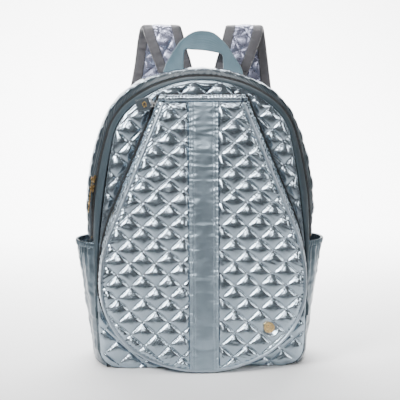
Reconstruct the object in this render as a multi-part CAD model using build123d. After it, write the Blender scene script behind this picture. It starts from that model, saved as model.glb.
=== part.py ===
from build123d import *

import os
from math import asin, cos, degrees, radians, sin, sqrt, tan

# A racket backpack of quilted nylon, standing on its base, in millimetres.
# +Z is up, the front faces -Y, and the origin is on the floor under the middle of the main body.
# Each outline is a chain of arcs and lines, so one set of driving sizes shapes every band and panel.

# ---------------------------------------------------------------- driving sizes
BODY_DEPTH = 124.0
FRONT_Y = -BODY_DEPTH / 2  # outer face of the main front panel
BACK_Y = BODY_DEPTH / 2  # outer face of the padded back panel
BACK_PAD = 12.0
WALL = 3.5  # quilted wall: shell, wadding and lining
PANEL = 4.0

# Each arch: height, widest half-width, radii of crown and shoulder, the angles from straight up where
# crown, shoulder and side arc end, half-width at the foot, and the radius of the bottom corner.
FRONT_ARCH = {
    "top": 419.0, "half": 154.0, "crown": 153.0, "shoulder": 82.0,
    "turn_1": 43.4, "turn_2": 78.7, "turn_3": 91.0, "foot": 151.0, "corner": 28.0,
}
REAR_ARCH = {
    "top": 432.0, "half": 166.0, "crown": 200.0, "shoulder": 108.0,
    "turn_1": 26.0, "turn_2": 66.0, "turn_3": 96.0, "foot": 156.0, "corner": 30.0,
}

HINGE_Z = 186.0  # the main zip ends here, and the front folds forward along this line
HINGE_GAP = 0.4

ZIP_Y = -43.0  # middle of the main zip
ROW = 2.2  # one row of zip coil across
ROW_GAP = 1.0  # between the two rows
ROW_THICK = 2.2
TAPE = 3.4  # bare tape beside a row
TAPE_THICK = 0.8

RACKET_TOP = 397.0
RACKET_LEAN = 22.4  # the straight sides of the racket pocket lean in by this angle
RACKET_CORNER_ANGLE = 28.0
RACKET_FACE = {"foot": 4.5, "half": 145.0, "base": 180.0, "side": 222.0}
RACKET_ROOT = {"foot": 1.5, "half": 149.5, "base": 186.0, "side": 276.0}
RACKET_ZIP_Y = -66.6
COVER_Y_FOOT = -100.5  # front face of the racket cover at floor level
COVER_Y_TOP = -79.0  # and at COVER_TOP_Z
COVER_TOP_Z = 400.0
COVER_THICK = 5.0
PADDING = 3.0
BAND_HALF = 20.0

SLIDER_LONG = 11.0
POCKET_TOP = 184.0

os.makedirs("parts", exist_ok=True)


def save(shape, name):
    shape.label = name
    export_step(shape, f"parts/{name}.step")


def between(a, b, share):
    """Sizes that lie share of the way from outline a to outline b."""
    return {key: a[key] + (b[key] - a[key]) * share for key in a}


def arc(centre, radius, start, end):
    """Three points of an arc in the XZ plane; angles in degrees from straight up, clockwise."""
    return [
        (centre[0] + radius * sin(radians(angle)), centre[1] + radius * cos(radians(angle)))
        for angle in (start, (start + end) / 2, end)
    ]


def mirrored(half):
    """The left half of an outline from its right half, in running order."""
    return [[(-x, z) for x, z in reversed(points)] for points in reversed(half)]


def arch(size, inset=0.0):
    """The bag's arched outline as point lists of two or three points, clockwise from the crown."""
    crown, shoulder = size["crown"] - inset, size["shoulder"] - inset
    half, top = size["half"] - inset, size["top"] - inset
    turn_1, turn_2 = size["turn_1"], size["turn_2"]
    s1, c1 = sin(radians(turn_1)), cos(radians(turn_1))
    s2, c2 = sin(radians(turn_2)), cos(radians(turn_2))
    side = (half - crown * s1 - shoulder * (s2 - s1)) / (1 - s2)
    crown_mid = (0, top - crown)
    shoulder_mid = ((crown - shoulder) * s1, crown_mid[1] + (crown - shoulder) * c1)
    side_mid = (half - side, shoulder_mid[1] - (side - shoulder) * c2)
    sides = arc(side_mid, side, turn_2, size["turn_3"])
    corner, foot = size["corner"] - inset, size["foot"] - inset
    corners = arc((foot - corner, inset + corner), corner, 90, 180)
    right = [
        arc(shoulder_mid, shoulder, turn_1, turn_2),
        sides,
        [sides[-1], corners[0]],
        corners,
    ]
    left = mirrored(right)
    floor = [corners[-1], left[0][0]]
    return [arc(crown_mid, crown, -turn_1, turn_1), *right, floor, *left]


def side_arc(size):
    """Centre and radius of the right-hand side arc of an arch."""
    s1, s2 = sin(radians(size["turn_1"])), sin(radians(size["turn_2"]))
    radius = (size["half"] - size["crown"] * s1 - size["shoulder"] * (s2 - s1)) / (1 - s2)
    start = arch(size)[2][0]
    return (size["half"] - radius, start[1] - radius * cos(radians(size["turn_2"]))), radius


def teardrop(size, inset=0.0, top=RACKET_TOP):
    """The racket pocket's outline, clockwise from the right end of its top edge."""
    lean, turn = radians(RACKET_LEAN), radians(RACKET_CORNER_ANGLE)
    base, half, foot = size["base"] - inset, size["half"] - inset, size["foot"] + inset
    corner = (half - base * sin(turn)) / (1 - sin(turn))
    side = size["side"] - inset
    corner_mid = (half - corner, foot + base - (base - corner) * cos(turn))
    side_mid = (half - side, corner_mid[1])
    sides = arc(side_mid, side, 90 - RACKET_LEAN, 90)
    top_x = sides[0][0] - (top - sides[0][1]) * tan(lean)
    right = [
        [(top_x, top), sides[0]],
        sides,
        arc(corner_mid, corner, 90, 180 - RACKET_CORNER_ANGLE),
    ]
    bottom = arc((0, foot + base), base, 180 - RACKET_CORNER_ANGLE, 180 + RACKET_CORNER_ANGLE)
    return [*right, bottom, *mirrored(right), [(-top_x, top), (top_x, top)]]


def wire(outline, y):
    """The outline as a closed wire; y is a number, or a function of z for a leaning plane."""
    depth = y if callable(y) else lambda _: y
    edges = []
    for points in outline:
        placed = [Vector(x, depth(z), z) for x, z in points]
        edges.append(Edge.make_line(*placed) if len(placed) == 2 else Edge.make_three_point_arc(*placed))
    return Wire(edges)


def slab(outline_a, y_a, outline_b, y_b):
    """A closed solid between two outlines on two planes."""
    return Solid.make_loft([wire(outline_a, y_a), wire(outline_b, y_b)], True)


def plate(outline, y_a, y_b):
    return slab(outline, y_a, outline, y_b)


def block(x0, x1, y0, y1, z0, z1):
    return Pos((x0 + x1) / 2, (y0 + y1) / 2, (z0 + z1) / 2) * Box(x1 - x0, y1 - y0, z1 - z0)


FAR = 400.0


def above(shape, z):
    return shape & block(-FAR, FAR, -FAR, FAR, z, z + 2 * FAR)


def below(shape, z):
    return shape & block(-FAR, FAR, -FAR, FAR, z - 2 * FAR, z)


def save_split(shape, name):
    """Saves the two halves of a piece that folds along the front's hinge line."""
    save(above(shape, HINGE_Z + HINGE_GAP / 2), f"{name}_upper")
    save(below(shape, HINGE_Z - HINGE_GAP / 2), f"{name}_lower")


# ---------------------------------------------------------------- main body
# How the side wall grows from the front arch (0) to the rear arch (1): a bevel up to the main zip,
# a straight strip that holds the zip, the swell of the gusset behind it, and a long straight run.
ZIP_STRIP = ROW_GAP / 2 + ROW + TAPE
SWELL_Y = -22.0
PROFILE = [
    (FRONT_Y, 0.0),
    (ZIP_Y - ZIP_STRIP, 0.5),
    (ZIP_Y + ZIP_STRIP, 0.5),
    (SWELL_Y, 0.95),
    (BACK_Y - BACK_PAD, 1.0),
]


def arch_at(y):
    """The side wall's outer arch at depth y."""
    for (y_a, share_a), (y_b, share_b) in zip(PROFILE, PROFILE[1:]):
        if y <= y_b:
            return between(FRONT_ARCH, REAR_ARCH, share_a + (share_b - share_a) * (y - y_a) / (y_b - y_a))
    return REAR_ARCH


def body_solid(y_a, y_b, inset=0.0):
    """The body's full outline between two depths, inset mm inside the side wall's face."""
    stops = [y_a, *(y for y, _ in PROFILE if y_a + 0.01 < y < y_b - 0.01), y_b]
    pieces = [
        slab(arch(arch_at(y0), inset), y0, arch(arch_at(y1), inset), y1)
        for y0, y1 in zip(stops, stops[1:])
    ]
    whole = pieces[0]
    for piece in pieces[1:]:
        whole = whole + piece
    return whole


def body_band(y_a, y_b, outer=0.0, thick=WALL):
    """A ring of the side wall between two depths, outer mm inside the wall's face."""
    return body_solid(y_a, y_b, outer) - body_solid(y_a, y_b, outer + thick)


front_inner_y = FRONT_Y + PANEL
back_inner_y = BACK_Y - BACK_PAD
row_front_y = ZIP_Y - ROW_GAP / 2 - ROW
row_rear_y = ZIP_Y + ROW_GAP / 2 + ROW
wall_front_y = row_front_y - TAPE
wall_rear_y = row_rear_y + TAPE
row_inset = (WALL - ROW_THICK) / 2
tape_inset = (WALL - TAPE_THICK) / 2

rear_wall = body_band(wall_rear_y, back_inner_y)
low_wall = below(body_band(front_inner_y, wall_rear_y), HINGE_Z - HINGE_GAP / 2)
whole_wall = rear_wall + low_wall
base_half = REAR_ARCH["foot"] - REAR_ARCH["corner"] - 12
base_cut = block(-base_half, base_half, -FAR, FAR, -1, PANEL + 1)
save(whole_wall - base_cut, "side_gusset")
save(whole_wall & base_cut, "base_panel")
BOARD_MARGIN = 6.0
board = block(
    -base_half + BOARD_MARGIN, base_half - BOARD_MARGIN,
    front_inner_y + BOARD_MARGIN, back_inner_y - BOARD_MARGIN,
    WALL + 0.1, WALL + 2.1,
)
save(board, "base_board")

save(above(body_band(front_inner_y, wall_front_y), HINGE_Z + HINGE_GAP / 2), "front_gusset")
save_split(plate(arch(FRONT_ARCH), FRONT_Y, front_inner_y), "front_panel")

# The back panel: foam-padded outside, a stiffener sheet behind it, then the laptop sleeve.
SHEET = 1.8
save(plate(arch(REAR_ARCH), back_inner_y, BACK_Y), "back_panel")
save(
    plate(arch(REAR_ARCH, 16), back_inner_y - 0.1 - SHEET, back_inner_y - 0.1),
    "back_frame_sheet",
)
SLEEVE_HALF, SLEEVE_TOP, SLEEVE_DEEP, SLEEVE_WALL = 122.0, 290.0, 24.0, 3.0
sleeve_back = back_inner_y - SHEET - 0.4
sleeve_front = sleeve_back - SLEEVE_DEEP
sleeve = block(-SLEEVE_HALF, SLEEVE_HALF, sleeve_front, sleeve_back, 12, SLEEVE_TOP)
sleeve_hollow = block(
    -SLEEVE_HALF + SLEEVE_WALL, SLEEVE_HALF - SLEEVE_WALL,
    sleeve_front + SLEEVE_WALL, sleeve_back + 1, 12 + SLEEVE_WALL, SLEEVE_TOP + 1,
)
save(sleeve - sleeve_hollow, "laptop_sleeve")

# Piping in the seam between the back panel and the side wall.
PIPE_OUT, PIPE_WIDE = 2.6, 5.0
back_wall_out = plate(arch(REAR_ARCH, -PIPE_OUT), back_inner_y, back_inner_y + PIPE_WIDE)
back_wall_in = plate(arch(REAR_ARCH, -0.1), back_inner_y, back_inner_y + PIPE_WIDE)
save(above(back_wall_out - back_wall_in, REAR_ARCH["corner"]), "back_piping")


# ---------------------------------------------------------------- main zip
def zip_band(y_a, y_b, outer, thick):
    return above(body_band(y_a, y_b, outer, thick), HINGE_Z + HINGE_GAP / 2)


save(zip_band(wall_front_y, row_front_y, tape_inset, TAPE_THICK), "main_zip_tape_front")
save(zip_band(row_rear_y, wall_rear_y, tape_inset, TAPE_THICK), "main_zip_tape_rear")
save(zip_band(row_front_y, row_front_y + ROW, row_inset, ROW_THICK), "main_zip_coil_front")
save(zip_band(row_rear_y - ROW, row_rear_y, row_inset, ROW_THICK), "main_zip_coil_rear")

track, track_radius = side_arc(arch_at(ZIP_Y))
track_mid_radius = track_radius - WALL / 2

EAR_RADIUS, PIN_RADIUS, PIN_OUT = 2.4, 0.7, 6.2
PULL_LONG, PULL_WIDE, PULL_THICK = 38.0, 5.8, 1.6


def on_track(shape, angle):
    """Places a piece drawn at the track (X outward, Y across, Z along) on the left-hand zip."""
    x = -(track[0] + track_mid_radius * cos(radians(angle)))
    z = track[1] + track_mid_radius * sin(radians(angle))
    return Pos(x, ZIP_Y, z) * Rot(0, angle, 0) * Rot(0, 0, 180) * shape


def slider(lane):
    """A coil zip slider: two plates, the post between the rows, and two ears for the pull's pin.
    The outer plate's front half is stepped up, so that the front row can leave it sideways."""
    half_long, half_wide = SLIDER_LONG / 2, 5.9
    clear = ROW_THICK / 2 + 0.95
    top = clear + 2.5
    rear_plate = block(clear, top, -half_wide, 0.2, -half_long, half_long)
    front_plate = block(top - 1, top, 0, half_wide, -half_long, half_long)
    back_plate = block(-clear - 1, -clear, -half_wide, 0.2, -half_long, half_long)
    post = block(-clear - 1, clear + 0.2, -0.2, 0.2, half_long - 3.5, half_long - 1)
    made = rear_plate + front_plate + back_plate + post
    for side in (-1, 1):
        y = lane + side * 2.3
        ear = Pos(PIN_OUT, y, 0) * Rot(90, 0, 0) * Cylinder(EAR_RADIUS, 0.8)
        foot = block(top - 0.5, PIN_OUT, y - 0.4, y + 0.4, -EAR_RADIUS, EAR_RADIUS)
        made += ear + foot
    return made + Pos(PIN_OUT, lane, 0) * Rot(90, 0, 0) * Cylinder(PIN_RADIUS, 5.4)


def pull(lane):
    """A metal pull: a knuckle round the slider's pin and a bar with a long slot in its lower half."""
    knuckle = Pos(PIN_OUT, lane, 0) * Rot(90, 0, 0) * Cylinder(1.35, 3.0)
    bore = Pos(PIN_OUT, lane, 0) * Rot(90, 0, 0) * Cylinder(PIN_RADIUS + 0.15, 8)
    outline = Pos(0, -PULL_LONG / 2 + 1.5) * SlotOverall(PULL_LONG, PULL_WIDE, rotation=90)
    slot = Pos(0, -PULL_LONG + 10.5) * SlotOverall(13, 2.2, rotation=90)
    face = Plane(origin=(PIN_OUT - PULL_THICK / 2, lane, 0), x_dir=(0, 1, 0), z_dir=(1, 0, 0))
    bar = extrude(face * (outline - slot), PULL_THICK)
    notch = block(0, 9, lane - 3.1, lane + 3.1, -2.9, 3.1)
    neck = block(PIN_OUT - 0.8, PIN_OUT + 0.8, lane - 1.5, lane + 1.5, -3.0, 0)
    return bar - notch + knuckle + neck - bore


UPPER_ANGLE, LOWER_ANGLE, LANE = 9.25, 7.7, 3.1
for name, angle, lane in (("upper", UPPER_ANGLE, LANE), ("lower", LOWER_ANGLE, -LANE)):
    save(on_track(slider(lane), angle), f"main_slider_{name}")
    save(on_track(pull(lane), angle), f"main_pull_{name}")

STOP = 5.0
stop_angle = degrees(asin((HINGE_Z + STOP - track[1]) / track_mid_radius))
left_stop = on_track(Box(3.4, 5.6, 3.0) - Box(2.4, 6.2, 3.2), stop_angle)
save(Compound([left_stop, mirror(left_stop, Plane.YZ)]), "main_zip_stops")


# ---------------------------------------------------------------- racket pocket
def cover_y(offset=0.0):
    """Depth of the leaning cover plane at height z, offset mm behind its front face."""
    return lambda z: COVER_Y_FOOT + (COVER_Y_TOP - COVER_Y_FOOT) * z / COVER_TOP_Z + offset


def root_band(y_a, y_b, outer=0.0, thick=WALL):
    a, b = teardrop(RACKET_ROOT, outer), teardrop(RACKET_ROOT, outer + thick, RACKET_TOP + 1)
    cut = block(-FAR, FAR, -FAR, FAR, 0, RACKET_TOP - 1)
    return (plate(a, y_a, y_b) - plate(b, y_a - 1, y_b + 1)) & cut


racket_row_front = RACKET_ZIP_Y - ROW_GAP / 2 - ROW
racket_row_rear = RACKET_ZIP_Y + ROW_GAP / 2 + ROW
STRIP_HALF = 54.0
top_strip = block(-STRIP_HALF, STRIP_HALF, racket_row_rear - ROW, FRONT_Y, RACKET_TOP - WALL, RACKET_TOP)
save(top_strip, "racket_top_strip")
save_split(root_band(racket_row_rear, FRONT_Y) - top_strip, "racket_zip_flange")
save_split(root_band(racket_row_rear - ROW, racket_row_rear, row_inset, ROW_THICK), "racket_zip_coil_rear")
front_row = root_band(racket_row_front, racket_row_front + ROW, row_inset, ROW_THICK)
save_split(front_row, "racket_zip_coil_front")

cover_back = cover_y(COVER_THICK)
gusset_out = slab(teardrop(RACKET_FACE), cover_back, teardrop(RACKET_ROOT), racket_row_front)
gusset_in = slab(
    teardrop(RACKET_FACE, WALL, RACKET_TOP - WALL), cover_back,
    teardrop(RACKET_ROOT, WALL, RACKET_TOP - WALL), racket_row_front,
)
GUSSET_TOP = RACKET_TOP - 10
gusset = gusset_out - gusset_in
save_split(below(gusset, GUSSET_TOP), "racket_gusset")

face = slab(teardrop(RACKET_FACE), cover_y(), teardrop(RACKET_FACE), cover_back)
band_slot = block(-BAND_HALF, BAND_HALF, -FAR, FAR, -1, GUSSET_TOP)
hem_slot = block(-FAR, FAR, -FAR, FAR, GUSSET_TOP, RACKET_TOP + 1)
save_split(face - band_slot - hem_slot, "racket_cover_quilt")
save_split(face & band_slot, "racket_cover_band")
save((face & hem_slot) + (gusset & hem_slot), "racket_cover_hem")
pad_outline = teardrop(RACKET_FACE, WALL + 0.4, GUSSET_TOP - 2)
pad_back = cover_y(COVER_THICK + PADDING)
save_split(slab(pad_outline, cover_y(COVER_THICK + 0.1), pad_outline, pad_back), "racket_cover_padding")

PIPING = 2.4
piping_outline = teardrop(RACKET_FACE, -PIPING)
piping_out = slab(piping_outline, cover_y(-1.0), piping_outline, cover_y(3.6))
piping_in = slab(teardrop(RACKET_FACE, -0.1), cover_y(-2.0), teardrop(RACKET_FACE, -0.1), cover_y(4.6))
save_split(below(piping_out - piping_in, GUSSET_TOP), "racket_cover_piping")

BADGE_X, BADGE_Z, BADGE_RADIUS = 93.0, 66.0, 7.6
cover_lean = degrees(asin((COVER_Y_TOP - COVER_Y_FOOT) / COVER_TOP_Z))
badge = Pos(BADGE_X, cover_y(-0.9)(BADGE_Z), BADGE_Z) * Rot(90 - cover_lean, 0, 0)
rim = Cylinder(BADGE_RADIUS, 1.6) - Pos(0, 0, 0.8) * Cylinder(BADGE_RADIUS - 1.0, 0.8)
save(badge * (rim + Pos(0, 0, 0.2) * Cylinder(2.4, 1.2)), "cover_badge")

# The racket slider sits on the rear row, with an arm that carries a ring and a webbing tab.
lean = radians(RACKET_LEAN)
root_line = teardrop(RACKET_ROOT, WALL / 2)[0]
SLIDER_Z = 383.0
slider_x = -(root_line[0][0] + (RACKET_TOP - SLIDER_Z) * tan(lean))


def on_racket_track(shape):
    """Places a piece drawn with X outward, Y forward and Z along the zip on the pocket's left side."""
    on_row = Pos(slider_x, racket_row_rear - ROW / 2, SLIDER_Z)
    return on_row * Rot(0, RACKET_LEAN, 0) * Rot(0, 0, 180) * shape


TAB_Y = -79.0  # middle of the tab, in front of the pocket's edge
arm_reach = racket_row_rear - ROW / 2 - TAB_Y
PIVOT_OUT, ARM = 9.0, 1.4
slider_plates = block(2.1, 3.2, -2.6, 1.75, -5, 5) + block(-3.2, -2.1, -2.6, 1.75, -5, 5)
slider_post = block(-3.2, 3.2, 1.4, 1.75, 2.5, 5)
slider_arm = block(3.0, PIVOT_OUT + ARM, -ARM, ARM, -ARM, ARM) + block(
    PIVOT_OUT - ARM, PIVOT_OUT + ARM, -ARM, arm_reach - 1.6, -ARM, ARM
)
pivot_pin = Pos(PIVOT_OUT, arm_reach, 0) * Rot(90, 0, 0) * Cylinder(0.9, 3.4)
save(on_racket_track(slider_plates + slider_post + slider_arm + pivot_pin), "racket_slider")
pivot_at = on_racket_track(Pos(PIVOT_OUT, arm_reach, 0) * Box(0.1, 0.1, 0.1)).center()

TAB_DROOP, TAB_LONG, TAB_TALL, TAB_THICK = 14.0, 20.0, 18.0, 2.4
RING_WIRE, RING_TALL, RING_DEEP, RING_MID = 1.8, 12.4, 6.4, -2.2
TAB_START = -2.6


def on_tab(shape):
    """Places a piece drawn with -X along the tab, Z up and Y back, from the tab's pivot."""
    return Pos(*pivot_at) * Rot(0, -TAB_DROOP, 0) * shape


ring_hole = Box(RING_DEEP - 2 * RING_WIRE, 4, RING_TALL - 2 * RING_WIRE)
ring = Pos(RING_MID, 0, 0) * (Box(RING_DEEP, RING_WIRE, RING_TALL) - ring_hole)
eye = Rot(90, 0, 0) * Cylinder(2.2, RING_WIRE)
eye_bore = Rot(90, 0, 0) * Cylinder(1.05, 4)
save(on_tab(ring + eye - eye_bore), "racket_pull_ring")
tab_body = Pos(TAB_START - TAB_LONG / 2, 0, 0) * Box(TAB_LONG, TAB_THICK, TAB_TALL)
ring_slot = Pos(RING_MID, 0, 0) * Box(RING_DEEP + 0.3, RING_WIRE + 0.2, RING_TALL + 0.3)
tab_mouth = Box(5.6, TAB_THICK + 1, RING_TALL - 2 * RING_WIRE)
save(on_tab(tab_body - ring_slot - tab_mouth), "racket_pull_tab")
stud_face = Pos(TAB_START - 8.0, -TAB_THICK / 2 - 0.5, 0) * Rot(90, 0, 0)
stud = stud_face * (extrude(Ellipse(3.0, 4.4), 0.45, both=True) - extrude(Ellipse(1.2, 2.5), 1, both=True))
save(on_tab(stud), "racket_pull_stud")


# ---------------------------------------------------------------- side pockets
def pocket_section(bulge, grow):
    """Plan outline of a left side pocket: a straight seam line closed by a bulging arc."""
    front = Vector(-FRONT_ARCH["half"] + 14, FRONT_Y + 3 - grow)
    rear = Vector(-REAR_ARCH["half"] + 14, back_inner_y - 2 + grow)
    middle = Vector(-REAR_ARCH["half"] + 6 - bulge - grow, -2)
    return front, middle, rear


def pocket_solid(z0, z1, bulge0, bulge1, grow):
    wires = []
    for z, bulge in ((z0, bulge0), (z1, bulge1)):
        front, middle, rear = (Vector(p.X, p.Y, z) for p in pocket_section(bulge, grow))
        wires.append(Wire([Edge.make_three_point_arc(front, middle, rear), Edge.make_line(rear, front)]))
    return Solid.make_loft(wires, True)


POCKET_FOOT, POCKET_WALL, FOOT_BULGE, TOP_BULGE, ELASTIC = 3.0, 2.4, -2.0, 23.0, 8.0
body_clear = body_solid(FRONT_Y, back_inner_y, -0.3)
pocket_out = pocket_solid(POCKET_FOOT, POCKET_TOP, FOOT_BULGE, TOP_BULGE, 0)
pocket_in = pocket_solid(POCKET_FOOT + POCKET_WALL, POCKET_TOP + 1, FOOT_BULGE, TOP_BULGE, -POCKET_WALL)
pocket = pocket_out - pocket_in - body_clear
pocket_walls = below(pocket, POCKET_TOP - ELASTIC - 0.1)
pocket_hem = above(pocket, POCKET_TOP - ELASTIC)
for side, shape in (("left", pocket_walls), ("right", mirror(pocket_walls, Plane.YZ))):
    save(shape, f"side_pocket_{side}")
for side, shape in (("left", pocket_hem), ("right", mirror(pocket_hem, Plane.YZ))):
    save(shape, f"pocket_elastic_{side}")


# ---------------------------------------------------------------- carry handle
HANDLE_Y, HANDLE_THICK, HANDLE_OUT, HANDLE_IN, HANDLE_RISE, HANDLE_BAND = 32.0, 3.0, 59.5, 30.0, 58.0, 25.0
crown_here = arch_at(HANDLE_Y)
handle_foot = crown_here["top"] - crown_here["crown"] + sqrt(crown_here["crown"] ** 2 - HANDLE_OUT**2)
handle_plane = Plane(origin=(0, HANDLE_Y, handle_foot), x_dir=(1, 0, 0), z_dir=(0, -1, 0))
rise_out = crown_here["top"] - handle_foot + HANDLE_RISE
handle_shape = Ellipse(HANDLE_OUT, rise_out) - Ellipse(HANDLE_IN, rise_out - HANDLE_BAND)
handle = extrude(handle_plane * handle_shape, HANDLE_THICK / 2, both=True)
top_clear = body_solid(SWELL_Y, back_inner_y, -1.2)
save(above(handle, handle_foot) - top_clear, "carry_handle")
patch = body_band(HANDLE_Y - 9, HANDLE_Y + 9, WALL + 0.2, 1.6)
patch_slots = block(-HANDLE_OUT - 4, HANDLE_OUT + 4, -FAR, FAR, 380, FAR + 80)
save(patch & patch_slots, "handle_reinforcement")


# ---------------------------------------------------------------- shoulder straps
def strip(stations, thick):
    """A flat strap through stations of (centre, width direction, width), with ruled spans."""
    wires = []
    count = len(stations)
    for i, (centre, across, wide) in enumerate(stations):
        before, after = stations[max(i - 1, 0)][0], stations[min(i + 1, count - 1)][0]
        along = (Vector(*after) - Vector(*before)).normalized()
        width = Vector(*across)
        width = (width - along * width.dot(along)).normalized()
        out = width.cross(along)
        corners = [
            Vector(*centre) + width * (sx * wide / 2) + out * (sy * thick / 2)
            for sx, sy in ((-1, -1), (1, -1), (1, 1), (-1, 1))
        ]
        wires.append(Wire.make_polygon(corners, close=True))
    return Solid.make_loft(wires, True)


STRAP_Y = BACK_Y + 5
PAD_THICK, WEB_WIDE, WEB_THICK = 10.0, 25.0, 1.6
LOOP = 17.0  # half the depth of the loop that the pad makes over the top
LOOP_TOP = 478.0
descend_y = STRAP_Y + 2 * LOOP
pad_path = [
    ((-44, STRAP_Y, 436), (1, 0, 0.24), 50),
    ((-52, STRAP_Y, 458), (1, 0, 0.24), 52),
    ((-58, STRAP_Y + 1, LOOP_TOP), (1, 0, 0.2), 54),
    ((-62, STRAP_Y + 0.3 * LOOP, LOOP_TOP + 0.72 * LOOP), (1, 0, 0.1), 55),
    ((-64, STRAP_Y + LOOP, LOOP_TOP + LOOP), (1, 0, 0), 56),
    ((-66, descend_y - 0.3 * LOOP, LOOP_TOP + 0.72 * LOOP), (1, 0, -0.1), 58),
    ((-68, descend_y, LOOP_TOP), (1, 0, -0.2), 60),
    ((-74, descend_y + 3, 420), (1, 0, -0.2), 64),
    ((-88, descend_y + 1, 340), (1, 0, -0.16), 64),
    ((-99, descend_y - 5, 260), (1, 0, -0.12), 60),
    ((-106, descend_y - 12, 190), (1, 0, -0.1), 52),
]
pad = strip(pad_path, PAD_THICK)
LOCK_Z, LOCK_Y, LOCK_X = 166.0, descend_y - 14.5, -108.5
lock_plane = Pos(LOCK_X, LOCK_Y, LOCK_Z) * Rot(-6, -5, 0)
lock_body = Box(34, 4.0, 30) - Pos(0, 0, 9.5) * Box(26.5, 9, 4.4) - Pos(0, 0, 1.2) * Box(26.5, 9, 5.0)
lock_body -= Pos(0, 0, -7.2) * Box(26.5, 9, 5.0)
lock = lock_plane * fillet(lock_body.edges().filter_by(Axis.Y), 1.0)
loop_web = strip(
    [
        ((-106.6, descend_y - 12.4, 189.4), (1, 0, -0.1), WEB_WIDE),
        ((-107.3, descend_y - 13.1, 183.7), (1, 0, -0.1), WEB_WIDE),
    ],
    WEB_THICK,
)
TAIL = 62.0
tail_web = strip(
    [
        ((LOCK_X - 0.6, LOCK_Y + 3.6, LOCK_Z + 3), (1, 0, -0.08), WEB_WIDE),
        ((LOCK_X - 2.0, LOCK_Y + 5.2, LOCK_Z - 14), (1, 0, -0.08), WEB_WIDE),
        ((LOCK_X - 4.0, LOCK_Y + 3.6, LOCK_Z - TAIL), (1, 0, -0.08), WEB_WIDE),
    ],
    WEB_THICK,
)
web_path = [
    ((LOCK_X - 1.6, LOCK_Y - 2.6, LOCK_Z - 19), (1, 0, -0.1), WEB_WIDE),
    ((LOCK_X - 7, LOCK_Y - 5, 120), (1, 0.1, -0.25), WEB_WIDE),
    ((LOCK_X - 17, LOCK_Y - 7, 92), (1, 0.15, -0.45), WEB_WIDE),
    ((LOCK_X - 28, LOCK_Y - 11, 68), (1, 0.2, -0.6), WEB_WIDE),
    ((LOCK_X - 37, BACK_Y + 4.0, 48), (1, 0.2, -0.7), WEB_WIDE),
    ((LOCK_X - 40, BACK_Y + 2.6, 38), (1, 0.1, -0.7), WEB_WIDE),
]
lower_web = strip(web_path, WEB_THICK)
tab_plane = Plane(origin=(0, BACK_Y + 0.2, 0), x_dir=(1, 0, 0), z_dir=(0, 1, 0))
tab_corners = [(-158, 12), (-108, 12), (-132, 52), (-152, 38)]
tab_outline = Polyline(*[(x, -z) for x, z in tab_corners], close=True)
strap_tab = extrude(tab_plane * make_face(tab_outline), 1.4)
anchor = block(-74, -14, BACK_Y + 0.1, BACK_Y + 3.1, 384, 424)

strap_parts = {
    "strap_pad": pad,
    "strap_adjuster": lock,
    "adjuster_webbing": Compound([loop_web, tail_web]),
    "strap_webbing": lower_web,
    "strap_corner_tab": strap_tab,
    "strap_anchor_patch": anchor & plate(arch(REAR_ARCH, 6), BACK_Y, BACK_Y + 5),
}
for name, shape in strap_parts.items():
    mirrored_shape = mirror(shape, Plane.YZ)
    save(shape, f"{name}_left")
    save(mirrored_shape, f"{name}_right")
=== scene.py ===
import math

import bmesh
import bpy
import numpy as np
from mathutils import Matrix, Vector
from mathutils.kdtree import KDTree


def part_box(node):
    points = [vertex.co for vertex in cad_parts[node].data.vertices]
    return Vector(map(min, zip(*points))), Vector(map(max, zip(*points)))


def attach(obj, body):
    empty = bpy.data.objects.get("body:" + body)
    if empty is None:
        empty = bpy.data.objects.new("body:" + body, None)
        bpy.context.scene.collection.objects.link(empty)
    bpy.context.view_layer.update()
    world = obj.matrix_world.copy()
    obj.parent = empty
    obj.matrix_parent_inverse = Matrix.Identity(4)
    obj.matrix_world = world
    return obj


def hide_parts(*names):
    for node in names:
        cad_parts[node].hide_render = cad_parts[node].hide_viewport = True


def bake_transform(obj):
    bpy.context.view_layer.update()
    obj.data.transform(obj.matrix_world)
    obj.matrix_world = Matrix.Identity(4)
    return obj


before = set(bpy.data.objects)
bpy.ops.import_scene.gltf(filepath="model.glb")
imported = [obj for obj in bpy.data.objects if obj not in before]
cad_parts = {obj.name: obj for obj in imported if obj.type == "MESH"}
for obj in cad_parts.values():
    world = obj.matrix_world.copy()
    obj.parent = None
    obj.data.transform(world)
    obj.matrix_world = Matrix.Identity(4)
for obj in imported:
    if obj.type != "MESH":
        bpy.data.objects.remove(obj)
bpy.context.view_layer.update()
MM = 0.001
PI = np.pi


# ---------------------------------------------------------------- sizes, in millimetres
def node_box(name):
    lo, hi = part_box(name)
    return np.array(lo) / MM, np.array(hi) / MM


panel_lo, panel_hi = node_box("front_panel_lower")
back_lo, back_hi = node_box("back_panel")
FRONT_Y, FRONT_IN = panel_lo[1], panel_hi[1]
BACK_IN, BACK_Y = back_lo[1], back_hi[1]
HINGE_Z = (node_box("front_panel_upper")[0][2] + panel_hi[2]) / 2
zip_lo, zip_hi = node_box("main_zip_coil_front")[0], node_box("main_zip_coil_rear")[1]
ZIP_Y = (zip_lo[1] + zip_hi[1]) / 2
STRIP = 6.1  # half width of the main zip with its tapes
SWELL_Y = -22.0  # where the body reaches its full swell
FRONT_ARCH = dict(
    top=419.0, half=154.0, crown=153.0, shoulder=82.0, t1=43.4, t2=78.7, t3=91.0, foot=151.0, corner=28.0
)
REAR_ARCH = dict(
    top=432.0, half=166.0, crown=200.0, shoulder=108.0, t1=26.0, t2=66.0, t3=96.0, foot=156.0, corner=30.0
)
PROFILE = [(FRONT_Y, 0.0), (ZIP_Y - STRIP, 0.5), (ZIP_Y + STRIP, 0.5), (SWELL_Y, 0.95), (BACK_IN, 1.0)]
RACKET_TOP, LEAN = 397.0, 22.4
FACE = dict(foot=4.5, half=145.0, base=180.0, side=222.0)
ROOT = dict(foot=1.5, half=149.5, base=186.0, side=276.0)
RACKET_ZIP_Y = -66.6
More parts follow.
